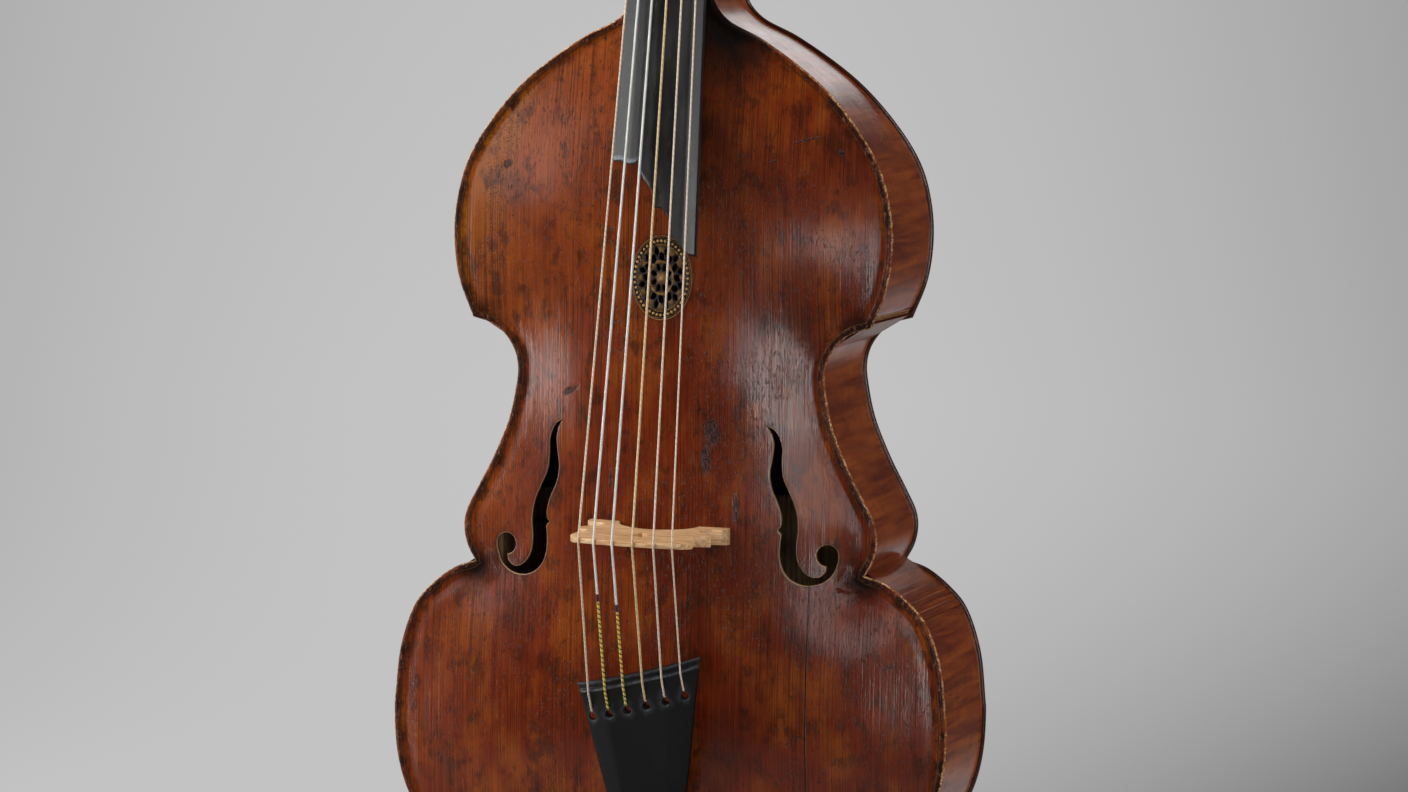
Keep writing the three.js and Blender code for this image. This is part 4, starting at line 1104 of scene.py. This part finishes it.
def neck():
    low = on_strings((0, board_under(600) + GAP, 600))[0]
    high = on_strings((0, board_under(1100) + GAP, 1100))[0]
    rings = []
    head_floor = on_strings((0, 0, HEAD_START - GAP))[0]
    for t in np.linspace(0, 1, 70) ** 1.5:
        rise = t * (NECK_RISE - 25)
        z = BODY_TOP + GAP + rise
        front = low[1] + (high[1] - low[1]) * (z - low[2]) / (high[2] - low[2])
        half = 46 - 10 * (z - BODY_TOP) / NECK_RISE
        heel = min(1, max(0, 1 - (rise - HEEL_PLAIN) / HEEL_CURVE)) ** 2.2
        back = front + 27 + (HEEL_BACK - GAP - front - 27 - rise * BACK_SLOPE) * heel
        angle = np.linspace(0, math.pi, 41)
        x = -half * np.cos(angle) * (1 - 0.25 * heel * np.sin(angle) ** 2)
        y = front + 5 + (back - front - 5) * np.sin(angle) ** 0.8
        ring = columns(x, y, z)
        rings.append(np.vstack([[(-half, front, z)], ring, [(half, front, z)]]))
    # the top ends on the slanted joint with the head
    slanted = rings[-1].copy()
    slanted[:, 2] = head_floor[2] - (slanted[:, 1] - head_floor[1]) * math.tan(STRING_SLOPE)
    rings.append(slanted)
    half, low_end, high_end = TENON
    tenon = Flat(np.array([(-half, low_end), (half, low_end), (half, high_end), (-half, high_end)], float),
                 step=12)
    make("carved_neck", joined(loft(rings), tenon.plate(-80, 15)), NECK, ["neck"])


neck()

# ---- pegbox and scroll ----
EYE_Y = 26
EYE_ALONG = HEAD_START + 262


def box_section(half, front, back, slot_half, slot_floor, z):
    """Channel section, open towards the front, with its outer corners eased."""
    outer = [(-half, front + 1.5), (-half, back - 9)]
    turn = np.radians(np.linspace(180, 90, 6))
    outer += [(-half + 9 + 9 * math.cos(a), back - 9 + 9 * math.sin(a)) for a in turn]
    outer += [(-half * 0.45, back - 1.6), (0, back + 0.6)]
    ring = outer + [(-x, y) for x, y in outer[-2::-1]]
    ring += [(half - 1.5, front), (slot_half + 1.5, front), (slot_half, front + 1.5)]
    ring += [(slot_half, slot_floor - 3), (slot_half - 3, slot_floor), (3 - slot_half, slot_floor),
             (-slot_half, slot_floor - 3)]
    ring += [(-slot_half, front + 1.5), (-slot_half - 1.5, front), (-half + 1.5, front)]
    return np.array([(x, y, z) for x, y in ring])


def pegbox():
    at = [0.3, 14, 60, 112, 160, 200, 203.5, 207, 225, 243]
    half = [39, 42, 40.5, 38, 35.5, 33, 32.5, 32, 28.5, 23]
    front = [6, -1, -2.4, -3, -3.4, -3.8, -3.9, -3.9, -2, 6]
    back = [47, 54, 53.5, 52, 49, 46, 45.8, 45.5, 44.5, 50]
    slot = [32, 31.5, 29.5, 27.5, 25, 23, 22.6, 22, 18, 12]
    floor = [41, 45, 43, 41, 39.5, 38, 30, 1.5, 3.6, 10]
    rings = []
    for z in np.concatenate([np.linspace(0.3, 200, 34), np.linspace(201, 243, 24)]):
        values = [np.interp(z, at, column) for column in (half, front, back, slot, floor)]
        rings.append(box_section(*values, HEAD_START + z))
    return loft(rings)


def scroll_radius(turn):
    """Outer radius of the scroll after so many radians from its back, measured over the top."""
    return 45.6 * math.exp(-0.118 * max(0.0, turn - TAU / 4))


def scroll_half(turn):
    return 22 + 14 * min(1, max(0, turn / (1.6 * TAU)))


def scroll():
    start, end = -0.75, 1.72 * TAU
    rings = []
    for turn in np.linspace(start, end, 190):
        outer = scroll_radius(turn)
        inner = scroll_radius(turn + TAU) if turn + TAU < end + 0.3 else 6.0
        inner = min(inner, outer - 2)
        half = scroll_half(turn)
        x = np.linspace(-half, half, 25)
        flute = 3.2 * np.sin(math.pi * abs(x) / half) ** 2 * min(1, outer / 40)
        rim = outer - flute - rounded(half - abs(x), 1.6)
        wall = np.linspace(outer - 1.5, inner, 7)
        dish = 1.8 * np.sin(np.linspace(0, math.pi, 7)) + np.linspace(0, 1.5, 7)
        ring = [(xx, r) for xx, r in zip(x, rim)]
        ring += [(half - d, r) for r, d in zip(wall, dish)]
        ring += [(-half + d, r) for r, d in zip(wall[::-1], dish[::-1])]
        c, s = math.cos(turn), math.sin(turn)
        rings.append(np.array([(xx, EYE_Y + r * c, EYE_ALONG + r * s) for xx, r in ring]))
    eye_profile = [(0, -37), (5, -36.8), (9, -36), (11.5, -34), (12.5, -31), (12.5, 31), (11.5, 34),
                   (9, 36), (5, 36.8), (0, 37)]
    verts, faces = lathe(eye_profile, 36)
    eye = (verts[:, [2, 0, 1]] + (0, EYE_Y, EYE_ALONG), faces)
    return joined(loft(rings), eye)


def head():
    verts, faces = joined(pegbox(), scroll())
    verts = on_strings(verts)
    verts[:, 2] = np.minimum(verts[:, 2], HEAD_TOP)
    make("carved_scroll", (verts, faces), NECK, ["pegbox_scroll"], sharp=42)


head()

# ---- pegs and windings ----
PEG_FIRST = 1112
PEG_STEP = 34
PEG_RADIUS = (5.4, 7)
PEG_TAPER_HALF = 62
STRING_OF_PEG = (0, 5, 1, 4, 2, 3)
WINDING_X = (-20, 20, -13, 13, -5, 5)


def peg_place(k):
    """Height behind the strings, distance along them and side of the head of a peg."""
    return 31 - 1.2 * k, PEG_FIRST + PEG_STEP * k, (-1 if k % 2 == 0 else 1)


def peg_radius(x, side):
    """Radius of a tapered peg at a place across the pegbox."""
    share = (x * side + PEG_TAPER_HALF) / (2 * PEG_TAPER_HALF)
    return PEG_RADIUS[0] + (PEG_RADIUS[1] - PEG_RADIUS[0]) * share


def turned_peg():
    shaft = [(0, -47.5), (2.5, -47.2), (4.6, -46), (5.6, -44.5), (6.8, 50), (8.4, 51), (9.6, 51.6),
             (10, 52.6), (9.6, 53.6), (8.6, 54.2), (8.6, 55), (9.6, 55.4), (9.9, 56.2), (9.2, 57),
             (7.6, 58.2), (6, 60.2), (5.2, 62.5), (5.2, 66), (0, 66)]
    turns = TAU * np.arange(40) / 40
    rings = []
    for t in np.linspace(0.0, 1.0, 40):
        height = 61 + 36 * t
        width = 5 + 11.2 * math.sin(math.pi * min(1, t * 0.94 + 0.06)) ** 0.62
        if t > 0.86:
            width *= math.sqrt(max(0.003, 1 - ((t - 0.86) / 0.14) ** 2 * 0.97))
        thick = 5 - 1.4 * math.sin(math.pi * t)
        x = width * np.cos(turns)
        y = thick * np.sign(np.sin(turns)) * abs(np.sin(turns)) ** 0.8
        y *= 1 - 0.28 * np.exp(-(x / 6) ** 2) * math.sin(math.pi * t)
        if t > 0.9:
            y = y * math.sqrt(max(0.02, 1 - ((t - 0.9) / 0.1) ** 2 * 0.9))
        rings.append(columns(x, y, height))
    verts, faces = lathe([(0, 95.5), (2.2, 96), (2.8, 97), (2.2, 98), (0, 98)], 16)
    return joined(lathe(shaft, 40), loft(rings), (verts, faces))


def across(verts, side):
    """Turns a piece made along +Z so that it lies along X, pointing to a side."""
    x, y, z = verts.T
    return columns(side * z, y, -side * x)


def string_look(s):
    if s == 0:
        return THICK_GUT, "wound_string"
    if s < 3:
        return SILVER, "wound_string"
    return (GOLD_GUT if s == 3 else PALE_GUT), "gut_string"


NO_SILK = -99.0
PEG_SHAPE = turned_peg()
for k, s in enumerate(STRING_OF_PEG):
    y, z, side = peg_place(k)
    body = f"tuner_{s + 1}"
    make(f"turned_peg_{s + 1}", (on_strings(across(PEG_SHAPE[0], side) + (0, y, z)), PEG_SHAPE[1]),
         BLACK, [f"peg_{s + 1}"], body)
    size = STRING_RADII[s]
    turns = 4 if s < 4 else 5
    angle = np.linspace(0, turns * TAU, turns * 28)
    reach = peg_radius(WINDING_X[k], side) + size + 0.1
    path = columns(WINDING_X[k] - side * 0.98 * (2 * size + 0.15) * angle / TAU,
                   y - reach * np.cos(angle), z + reach * np.sin(angle))
    verts, faces, wrap = tube(path, size, 10)
    look, slot = string_look(s)
    make(f"wound_turns_{s + 1}", (on_strings(verts), faces), look, [f"string_winding_{s + 1}"],
         body, values={"wrap": wrap, "silk": np.full(len(wrap), NO_SILK)})

# ---- tailpiece ----
RIDGE = 3
RIDGE_BELOW_EDGE = 10
RIDGE_LEVEL_HALF = 41
TAIL_EDGE = (6.8, 0.262)
TAIL_HOLE_LINE = (-36.8, 0.284)
TAIL_DEPTH = 18
FACET_SHARE = 0.55
KEYHOLE = 5
TAIL_GUT_RADIUS = 2.5
TAIL_GUT_X = 10


def tail_half(z):
    return TAIL["half"] + TAIL["taper"] * (z - 20)


def tail_edge(x):
    """Height of the slanted upper edge."""
    return TAIL_EDGE[0] + TAIL_EDGE[1] * x


def tail_hole_z(x):
    """Height of a keyhole on its slanted line."""
    return TAIL_HOLE_LINE[0] + TAIL_HOLE_LINE[1] * x


def tail_surface(x, z):
    """Three facets, with the creases eased."""
    over = np.abs(x) / tail_half(z) - FACET_SHARE
    return TAIL_DEPTH * (over + np.sqrt(over ** 2 + 0.0006)) / 2


def keyhole(x):
    z = tail_hole_z(x)
    turn = np.radians(np.linspace(114, 426, 26))
    ring = columns(x + KEYHOLE * np.cos(turn), z + KEYHOLE * np.sin(turn))
    tip = np.radians(np.linspace(0, 180, 8))
    slit = columns(x + 2 * np.cos(tip), z + 12 + 2 * np.sin(tip))
    return np.vstack([ring, slit])


def tailpiece():
    low, round_off = TAIL["bottom"], 9
    left_x = -tail_half(-12)
    right_x = tail_half(27.4)
    foot = tail_half(low + round_off)
    turn = np.radians(np.linspace(270, 360, 8))
    corner = columns(foot - round_off * (1 - np.cos(turn)), low + round_off * (1 + np.sin(turn)))
    right = np.vstack([corner, spaced([(foot, low + round_off), (right_x, tail_edge(right_x))], 3)[1:]])
    top = spaced([(right_x, tail_edge(right_x)), (left_x, tail_edge(left_x))], 3)[1:-1]
    top[:, 1] -= 2.4 * (1 - (top[:, 0] / 78) ** 2)
    left = np.vstack([spaced([(left_x, tail_edge(left_x)), (-foot, low + round_off)], 3)[:-1],
                      mirrored(corner)])
    lines = []
    slope = math.hypot(1, TAIL_EDGE[1])
    for shift in (-3.4, -2.4, -1.5, -0.5, 0.5, 1.5, 2.4, 3.4):
        x = np.linspace(-80, 80, 60)
        lines.append(columns(x, tail_edge(x) - RIDGE_BELOW_EDGE + shift * slope))
    for share in (-0.58, -0.55, -0.52, 0.52, 0.55, 0.58):
        z = np.linspace(low, 30, 80)
        line = columns(share * tail_half(z), z)
        lines.append(line[z < tail_edge(line[:, 0]) - 15])
    flat = Flat(np.vstack([right, top, left]), [keyhole(x) for x in TAIL_HOLES],
                rings=(0.5, 1.4, 2.8, 4.4), hole_rings=(0.5, 1.2), step=5, lines=lines)
    from_ridge = abs(flat.z - tail_edge(flat.x) + RIDGE_BELOW_EDGE) / slope
    wide = np.clip(1 - np.maximum(0, abs(flat.x) - RIDGE_LEVEL_HALF) / 35, 0, 1)
    ridge = (RIDGE + tail_surface(flat.x, flat.z) * 0.35 * wide) * np.exp(-(from_ridge / 2.1) ** 4)
    ridge *= np.clip((71 - abs(flat.x)) / 8, 0, 1)
    near_top = np.clip((tail_edge(flat.x) - flat.z) / 6, 0, 1)
    eased = rounded(flat.edge, 4.5) * near_top + rounded(flat.edge, 1.2) * (1 - near_top)
    front_y = tail_surface(flat.x, flat.z) - ridge + eased + rounded(flat.hole, 1.1)
    # painted highlight: the ridge, the top edge and the keyhole rims are marked to be drawn pale
    # bluish-grey
    rim = np.maximum(np.exp(-(from_ridge / 1.5) ** 2), np.exp(-flat.edge / 0.9) * (1 - near_top))
    rim = np.maximum(rim, np.exp(-flat.hole / 0.8))
    back_y = 14 - rounded(flat.edge, 1.5) - rounded(flat.hole, 0.8)
    make("shaped_tailpiece", placed(flat.plate(front_y, back_y), on_tail), BLACK, ["tailpiece"],
         values={"rim": np.concatenate([rim, rim * 0])})


tailpiece()

# ---- bridge ----
BRIDGE_FOOT = 27
GROOVE_DEPTH = 0.9
BRIDGE_SIDE = [(84, 44), (80, 50), (64, 54), (56, 64), (60, 76), (75, 86), (79, 97), (72, 105),
               (64, 110), (66, 124), (71, 140), (71, 152), (66, 164)]
BRIDGE_ARCH = [(-46, 44), (-36, 62), (-18, 74), (0, 78), (18, 74), (36, 62), (46, 44)]


def string_height(x):
    return STRING_AT_BRIDGE + 3 - 9 * (x / 56) ** 2


def bridge_thick(h):
    return 20 - 15 * (h - BRIDGE_FOOT) / 155


def bridge():
    x = np.linspace(64.5, -64.5, 130)
    groove = sum(GROOVE_DEPTH * np.exp(-((x - g) / 1.6) ** 2) for g in BRIDGE_GROOVES)
    crown = columns(x, string_height(x) - BRIDGE_REST + GROOVE_DEPTH - groove)
    side = spaced(curve_through(BRIDGE_SIDE, 120), 2)
    under = spaced(curve_through(BRIDGE_ARCH, 80), 2.5)
    foot = [*((x, BRIDGE_FOOT) for x in (47, 60, 72, 84)), (84, 36)]
    loop = np.vstack([under, foot, side, crown[1:-1], mirrored(side), mirrored(foot)])
    heart = curve_through([(0, 106), (9, 118), (13, 128), (8, 136), (0, 130)], 24)
    heart = np.vstack([heart[:-1], mirrored(heart)[:-1]])
    flat = Flat(Flat.anticlockwise(loop), [heart], rings=(0.5, 1.2), hole_rings=(0.5, 1.2), step=4)
    h = np.maximum(flat.z, arch(flat.x, np.full(len(flat.x), BRIDGE_Z)) + 0.2)
    half = bridge_thick(h) / 2 - rounded(flat.edge, 1.1) * 0.8 - rounded(flat.hole, 1.0)
    middle = BRIDGE_Z - flat.x * BRIDGE_SLANT
    y = EDGE_FRONT - h
    shape = flat.thick(columns(flat.x, y, middle + half), columns(flat.x, y, middle - half))
    make("cut_bridge", shape, MAPLE, ["bridge"])


bridge()


# ---- strings ----
def string_path(s):
    """Tailpiece, ridge, bridge, nut and peg, and the distance from the start to the bridge."""
    xb, xh, xn = BRIDGE_GROOVES[s], TAIL_HOLES[s], string_at_nut(s)
    k = STRING_OF_PEG.index(s)
    y, z, side = peg_place(k)
    hole_z = tail_hole_z(xh)
    xr = xh + (xb - xh) * 0.15
    crest = max(-RIDGE, -RIDGE + (abs(xr) - RIDGE_LEVEL_HALF) * 0.26)
    face = TAIL_DEPTH * max(0, abs(xh) / tail_half(hole_z) - FACET_SHARE)
    tail = on_tail([(xh, 20, hole_z + 6), (xh, 6 + face, hole_z + 6.5), (xh, face - 0.5, hole_z + 7.5),
                    (xr, crest - BRIDGE_REST, tail_edge(xr) - RIDGE_BELOW_EDGE)])
    bridge_point = np.array((xb, EDGE_FRONT - string_height(xb), BRIDGE_Z - xb * BRIDGE_SLANT))
    reach = peg_radius(WINDING_X[k], side) + STRING_RADII[s] + 0.1
    upper = on_strings([(xn, nut_string(xn), STRING_LENGTH), (WINDING_X[k], y - reach, z)])
    points = [*tail, bridge_point, *upper]
    to_bridge = run_of(np.array([*tail, bridge_point]))[-1]
    return points, to_bridge


SILK_BELOW_BRIDGE = {1: 66, 2: 78}
for s, size in enumerate(STRING_RADII):
    points, to_bridge = string_path(s)
    eased = softened(points, 2.2)
    fine = [eased[0]]
    for a, b in zip(eased, eased[1:]):
        pieces = max(1, int(math.dist(a, b) / 12))
        fine.extend(a + (b - a) * i / pieces for i in range(1, pieces + 1))
    verts, faces, wrap = tube(fine, size, 12)
    look, slot = string_look(s)
    silk = np.full(len(wrap), NO_SILK)
    if s in SILK_BELOW_BRIDGE:
        silk = to_bridge - SILK_BELOW_BRIDGE[s] - wrap[:, 2] / MM
    make(f"tuned_string_{s + 1}", (verts, faces), look, [f"string_{s + 1}"],
         values={"wrap": wrap, "silk": silk})

# ---- saddle, tail gut, collar and endpin ----
SADDLE_LOW, SADDLE_HIGH = corners("saddle")
SADDLE_ROUND = 4
GUT_ON_SADDLE = 13
GUT_LOOP_Z = 146.9
COLLAR_NECK = 14.5


def saddle():
    x = np.linspace(SADDLE_LOW[0], SADDLE_HIGH[0], 71)
    rows = []
    for t in np.linspace(0, 1, 9):
        lean = math.radians(90 * t)
        rows.append((SADDLE_LOW[1] + SADDLE_ROUND * (1 - math.cos(lean)),
                     SADDLE_HIGH[2] - SADDLE_ROUND * (1 - math.sin(lean))))
    profile = [(SADDLE_LOW[1], SADDLE_LOW[2] + 1), *rows, (SADDLE_HIGH[1], SADDLE_HIGH[2]),
               (SADDLE_HIGH[1], SADDLE_LOW[2]), (SADDLE_LOW[1] + 1, SADDLE_LOW[2])]
    rings = []
    for xx in x:
        shrink = rounded(np.array([35 - abs(xx)]), 3)[0]
        dip = math.exp(-((abs(xx) - GUT_ON_SADDLE) / 3.2) ** 2)
        rings.append(np.array([(xx, y + (shrink * 0.6 if y < RIB_FRONT - 6 else 0),
                                z - (shrink + dip * 0.4 if z > SADDLE_HIGH[2] - SADDLE_ROUND else 0))
                               for y, z in profile]))
    make("rounded_saddle", loft(rings), BLACK, ["saddle"])


saddle()


def tail_gut():
    radius = TAIL_GUT_RADIUS
    face = SADDLE_LOW[1] - radius - GAP
    loop = COLLAR_NECK + GAP + radius
    low = TAIL["bottom"]
    x = TAIL_GUT_X - TAIL["x"]
    half = [*on_tail([(x, 7, low + 14), (x, 7, low - 2)]),
            (GUT_ON_SADDLE, face - 1.5, SADDLE_HIGH[2] + 2), (GUT_ON_SADDLE, face, SADDLE_HIGH[2] - 6),
            (GUT_ON_SADDLE, face, SADDLE_LOW[2] + 1), (GUT_ON_SADDLE, face + 1.4, SADDLE_LOW[2] - 2.6),
            (13.5, face + 5, GUT_LOOP_Z), (15.5, -60, GUT_LOOP_Z)]
    turn = [(loop * math.cos(a), loop * math.sin(a), GUT_LOOP_Z) for a in np.linspace(0, math.pi, 25)]
    other = [np.array(p) * (-1, 1, 1) for p in half[::-1]]
    verts, faces, wrap = tube(softened([*half, *turn, *other], 5), radius, 14)
    make("twisted_tail_gut", (verts, faces), CORD, ["tail_gut"], values={"wrap": wrap})


tail_gut()

ROD = 5
BORE = ROD + 0.4
SCREW_Z = 129


def endpin():
    collar = [(BORE, 114), (13.2, 114), (14.6, 114.8), (16.2, 117), (17.5, 120), (17.5, 123), (16.8, 124),
              (16.8, 125), (17.5, 126), (17.5, 137), (16.8, 139.4), (14.8, 141.6), (COLLAR_NECK, 143),
              (COLLAR_NECK, 150.2), (15.4, 151), (19, 151), (19.9, 151.6), (20, 152.8), (19.4, 153.5),
              (13, 153.6), (13, 204), (BORE, 204), (BORE, 114)]
    make("turned_collar", lathe(collar, 64), BLACK, ["endpin_collar"])
    rod = [(0, 14), (ROD, 14), (ROD, 60), (ROD - 0.35, 60.4), (ROD - 0.35, 61.2), (ROD, 61.6), (ROD, 398),
           (ROD - 2, 400), (0, 400)]
    make("ground_rod", lathe(rod, 40), STEEL, ["endpin_rod"], "endpin")
    foot = [(0, 0), (7.4, 0), (8.4, 0.5), (10.4, 2.9), (11, 4.4), (10.9, 7), (10.2, 7.4), (10.2, 8.6),
            (10.8, 9), (10.6, 13), (9.9, 13.4), (9.9, 14.6), (10.5, 15), (10, 25), (9.2, 28.5), (7.9, 33),
            (7.2, 34), (ROD + GAP, 34), (ROD + GAP, 13.7), (0, 13.7)]
    make("rubber_tip", lathe(foot, 48), RUBBER, ["endpin_foot"], "endpin")


endpin()


def thumbscrew():
    tip = ROD + GAP
    stem = [(0, tip), (1.6, tip), (2.5, tip + 1)]
    for i in range(14):
        stem += [(2.5, tip + 1.3 + i), (2.1, tip + 1.8 + i)]
    stem += [(2.5, 20.5), (2.5, 22), (3.9, 22), (4.5, 22.6), (4.5, 29), (3.6, 30.4), (0, 30.6)]
    turns = TAU * np.arange(32) / 32
    rings = []
    for t in np.linspace(0, 1, 25):
        height = 27.2 + 15.6 * t
        width = 9 * math.sqrt(max(0.01, 1 - (2 * t - 1) ** 2 * 0.97))
        waist = 1 - 0.5 * math.exp(-((t - 1) / 0.22) ** 2)
        x = width * np.cos(turns)
        y = 1.7 * np.sin(turns) * waist * (0.75 + 0.25 * abs(np.cos(turns)))
        rings.append(columns(x, y, height))
    verts, faces = joined(lathe(stem, 24), loft(rings))
    make("wing_screw", (across(verts, 1) + (0, 0, SCREW_Z), faces), BRASS,
         ["endpin_thumbscrew"], "thumbscrew")


thumbscrew()


# ---- rosette: plain leaf tracery inside a beaded rim ----
def leaf(radius, angle, length, width, lean=0.0):
    """Pointed oval opening in the rosette; radius and sizes are shares of its half width."""
    t = np.linspace(0, TAU, 22, endpoint=False)
    u = length / 2 * np.cos(t)
    v = width / 2 * np.sin(t) * (0.35 + 0.65 * abs(np.sin(t)))
    c, s = math.cos(angle + lean), math.sin(angle + lean)
    x = radius * math.cos(angle) + u * c - v * s
    z = radius * math.sin(angle) + u * s + v * c
    return columns(x * ROSETTE_HALF[0], BRIDGE_Z + ROSETTE_Z + z * ROSETTE_HALF[1])


def rosette():
    openings = []
    for i in range(12):
        a = TAU * i / 12
        openings.append(leaf(0.66, a + TAU / 24, 0.20, 0.12))
        openings.append(leaf(0.52, a, 0.20, 0.15, 0.5 if i % 2 else -0.5))
    for i in range(8):
        openings.append(leaf(0.27, TAU * (i + 0.5) / 8, 0.17, 0.11))
    flat = Flat(oval(*ROSETTE_HALF, 110), openings, rings=(0.5, 1.2, 2.4), hole_rings=(0.35, 0.9),
                step=1.7)
    x = flat.x / ROSETTE_HALF[0]
    z = (flat.z - BRIDGE_Z - ROSETTE_Z) / ROSETTE_HALF[1]
    rho, phi = np.hypot(x, z), np.arctan2(z, x)
    relief = 0.5 + 0.5 * np.cos(12 * phi) * np.sin(math.pi * np.clip((rho - 0.38) / 0.42, 0, 1))
    relief = relief + 0.7 * np.exp(-((rho - 0.40) / 0.035) ** 2) + 0.8 * np.exp(-(rho / 0.12) ** 2)
    relief = relief * np.clip(flat.hole / 1.2, 0.25, 1)
    band = np.exp(-((rho - 0.81) / 0.025) ** 2) + np.exp(-((rho - 0.975) / 0.02) ** 2)
    relief = np.maximum(relief * (rho < 0.84), band)
    ground = EDGE_FRONT - arch(flat.x, flat.z)
    shapes = [flat.plate(ground + 1.1 - 1.9 * relief + rounded(flat.hole, 0.8), ground + 6)]
    heights = [relief, np.zeros(len(relief))]
    beads = 44
    ball = lathe([(0, -1), (0.5, -0.87), (0.87, -0.5), (1, 0), (0.87, 0.5), (0.5, 0.87), (0, 1)], 10)
    for i, (x, z) in enumerate(oval(ROSETTE_HALF[0] * 0.895, ROSETTE_HALF[1] * 0.9, beads)):
        size = 1.95 + 0.12 * math.sin(7 * i)
        depth = EDGE_FRONT - float(arch(x, z)) + 0.1
        shapes.append((ball[0] * (size, 1.7, size) + (x, depth, z), ball[1]))
        heights.append(np.clip(0.9 - 0.6 * ball[0][:, 1], 0.4, 1.4))
    make("leaf_rosette", joined(*shapes), GILT, ["rosette"],
         values={"relief": np.concatenate(heights)})


rosette()

# ---- inner pieces keep their CAD shape and get planed spruce ----
for name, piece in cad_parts.items():
    if not piece.hide_render:
        piece.data.materials.clear()
        piece.data.materials.append(SPRUCE)


# ---- camera ----
VIEW_YAW = math.radians(16.26)


def camera():
    """Three-quarter view from the front right, level with the head, as tall as the body."""
    down, roll = math.radians(4.785), math.radians(0.53)
    place = (2.0932, -7.1317, 1.3644)
    data = bpy.data.cameras.new("camera")
    data.lens = 162.6
    data.sensor_width = 36
    data.dof.use_dof = False
    piece = in_scene("camera", data)
    aim = Matrix.Rotation(VIEW_YAW, 4, "Z") @ Matrix.Rotation(TAU / 4 - down, 4, "X")
    piece.matrix_world = Matrix.Translation(place) @ aim @ Matrix.Rotation(roll, 4, "Z")
    bpy.context.scene.camera = piece


camera()


# ---- light and floor ----
def softbox(name, place, target, size, power, lights=True, shines=True):
    """A soft rectangular light; some only light, others only show as a sheen on the varnish."""
    data = bpy.data.lights.new(name, "AREA")
    data.shape = "RECTANGLE"
    data.size, data.size_y = size
    data.energy = power
    piece = in_scene(name, data)
    piece.location = place
    piece.rotation_euler = (Vector(target) - Vector(place)).to_track_quat("-Z", "Y").to_euler()
    piece.visible_camera = False
    piece.visible_diffuse = lights
    piece.visible_glossy = shines


softbox("key_softbox", (-2.5, -2.2, 2.0), (0, 0, 0.8), (1.5, 2.2), 76, shines=False)
softbox("side_softbox", (3.0, 0.7, 1.0), (0, 0, 0.8), (1.0, 2.0), 34, shines=False)
softbox("top_softbox", (-0.3, -0.8, 3.6), (0, 0, 0.8), (2.2, 1.4), 32)
softbox("back_softbox", (-2.4, 2.4, 1.7), (0, 0, 0.9), (1.4, 2.2), 45)
softbox("left_strip", (-2.75, -1.3, 0.8), (0, 0, 0.8), (0.6, 2.5), 44, lights=False)
softbox("left_high", (-1.95, -2.1, 1.5), (0, 0, 0.8), (0.6, 0.8), 5, lights=False)
softbox("front_strip", (1.42, -2.75, 0.48), (0, 0, 0.75), (0.4, 0.8), 16, lights=False)
softbox("front_high", (0.46, -1.55, 0.80), (0.1, 0, 0.5), (0.26, 0.26), 1.3, lights=False)
softbox("right_strip", (2.1, -2.3, 1.5), (0, 0, 1.3), (0.5, 0.9), 17, lights=False)
softbox("back_wall", (-0.6, 3.0, 2.05), (0, 0, 1.1), (1.9, 1.1), 9, lights=False)


def studio_world():
    """A pale backdrop behind the object, and a fill that shines little in the varnish."""
    world = bpy.data.worlds.new("studio")
    bpy.context.scene.world = world
    world.use_nodes = True
    world.node_tree.nodes.clear()
    sky = Nodes(world.node_tree, "Generated")
    x, y, z = sky.axes()
    # across and up the backdrop, as shares of the main view's half width and half height
    half_width, half_height, middle = 0.1107, 0.0623, -0.0834
    across = sky.plus(sky.times(x, math.cos(VIEW_YAW) / half_width),
                      sky.times(y, math.sin(VIEW_YAW) / half_width))
    across = sky.least(sky.most(across, -1.0), 1.0)
    up = sky.least(sky.most(sky.times(sky.plus(z, -middle), 1 / half_height), -1.0), 1.0)
    # painted shade: the backdrop the camera sees is darker towards its sides, its top and its lower right,
    # and lighter at its lower left
    tone = sky.plus(0.555, sky.times(across, -0.035))
    tone = sky.plus(tone, sky.times(sky.times(across, across), -0.13))
    tone = sky.plus(tone, sky.times(sky.most(up, 0.0), -0.03))
    low = sky.math("POWER", sky.most(sky.times(up, -1.0), 0.0), 2.0)
    slant = sky.plus(-0.07, sky.times(across, -0.15))
    ahead = sky.between(y, 0.4, 0.8)
    tone = sky.plus(tone, sky.times(sky.times(low, slant), ahead))
    seen = sky.node("ShaderNodeBackground", {"Color": tone})
    fill = sky.node("ShaderNodeBackground", {"Color": (1, 1, 1, 1), "Strength": 0.25})
    paving = sky.times(sky.between(z, -0.3, -0.14, 0.4, 0.0), sky.between(y, 0.0, 0.5))
    gleam = sky.node("ShaderNodeBackground", {"Color": (1, 1, 1, 1),
                                              "Strength": sky.plus(paving, 0.04)})
    path = sky.node("ShaderNodeLightPath").outputs
    indirect = sky.node("ShaderNodeMixShader", {0: path["Is Glossy Ray"], 1: fill.outputs[0],
                                                2: gleam.outputs[0]})
    pick = sky.node("ShaderNodeMixShader", {0: path["Is Camera Ray"], 1: indirect.outputs[0],
                                            2: seen.outputs[0]})
    sky.node("ShaderNodeOutputWorld", {"Surface": pick.outputs[0]})


studio_world()


def floor():
    """A thin round mat with a soft edge under the endpin."""
    edge = [(1480, -4), (1496, -3.4), (1500, -2), (1496, -0.6), (1480, 0)]
    verts, faces = lathe([(0, -4), *edge, (0, 0)], 96)
    mesh = bpy.data.meshes.new("pale_floor")
    mesh.from_pydata((verts * MM).tolist(), [], faces)
    mesh.materials.append(paper_floor())
    piece = in_scene("pale_floor", mesh)
    outward(mesh)


floor()
bpy.context.scene.view_settings.view_transform = "Standard"
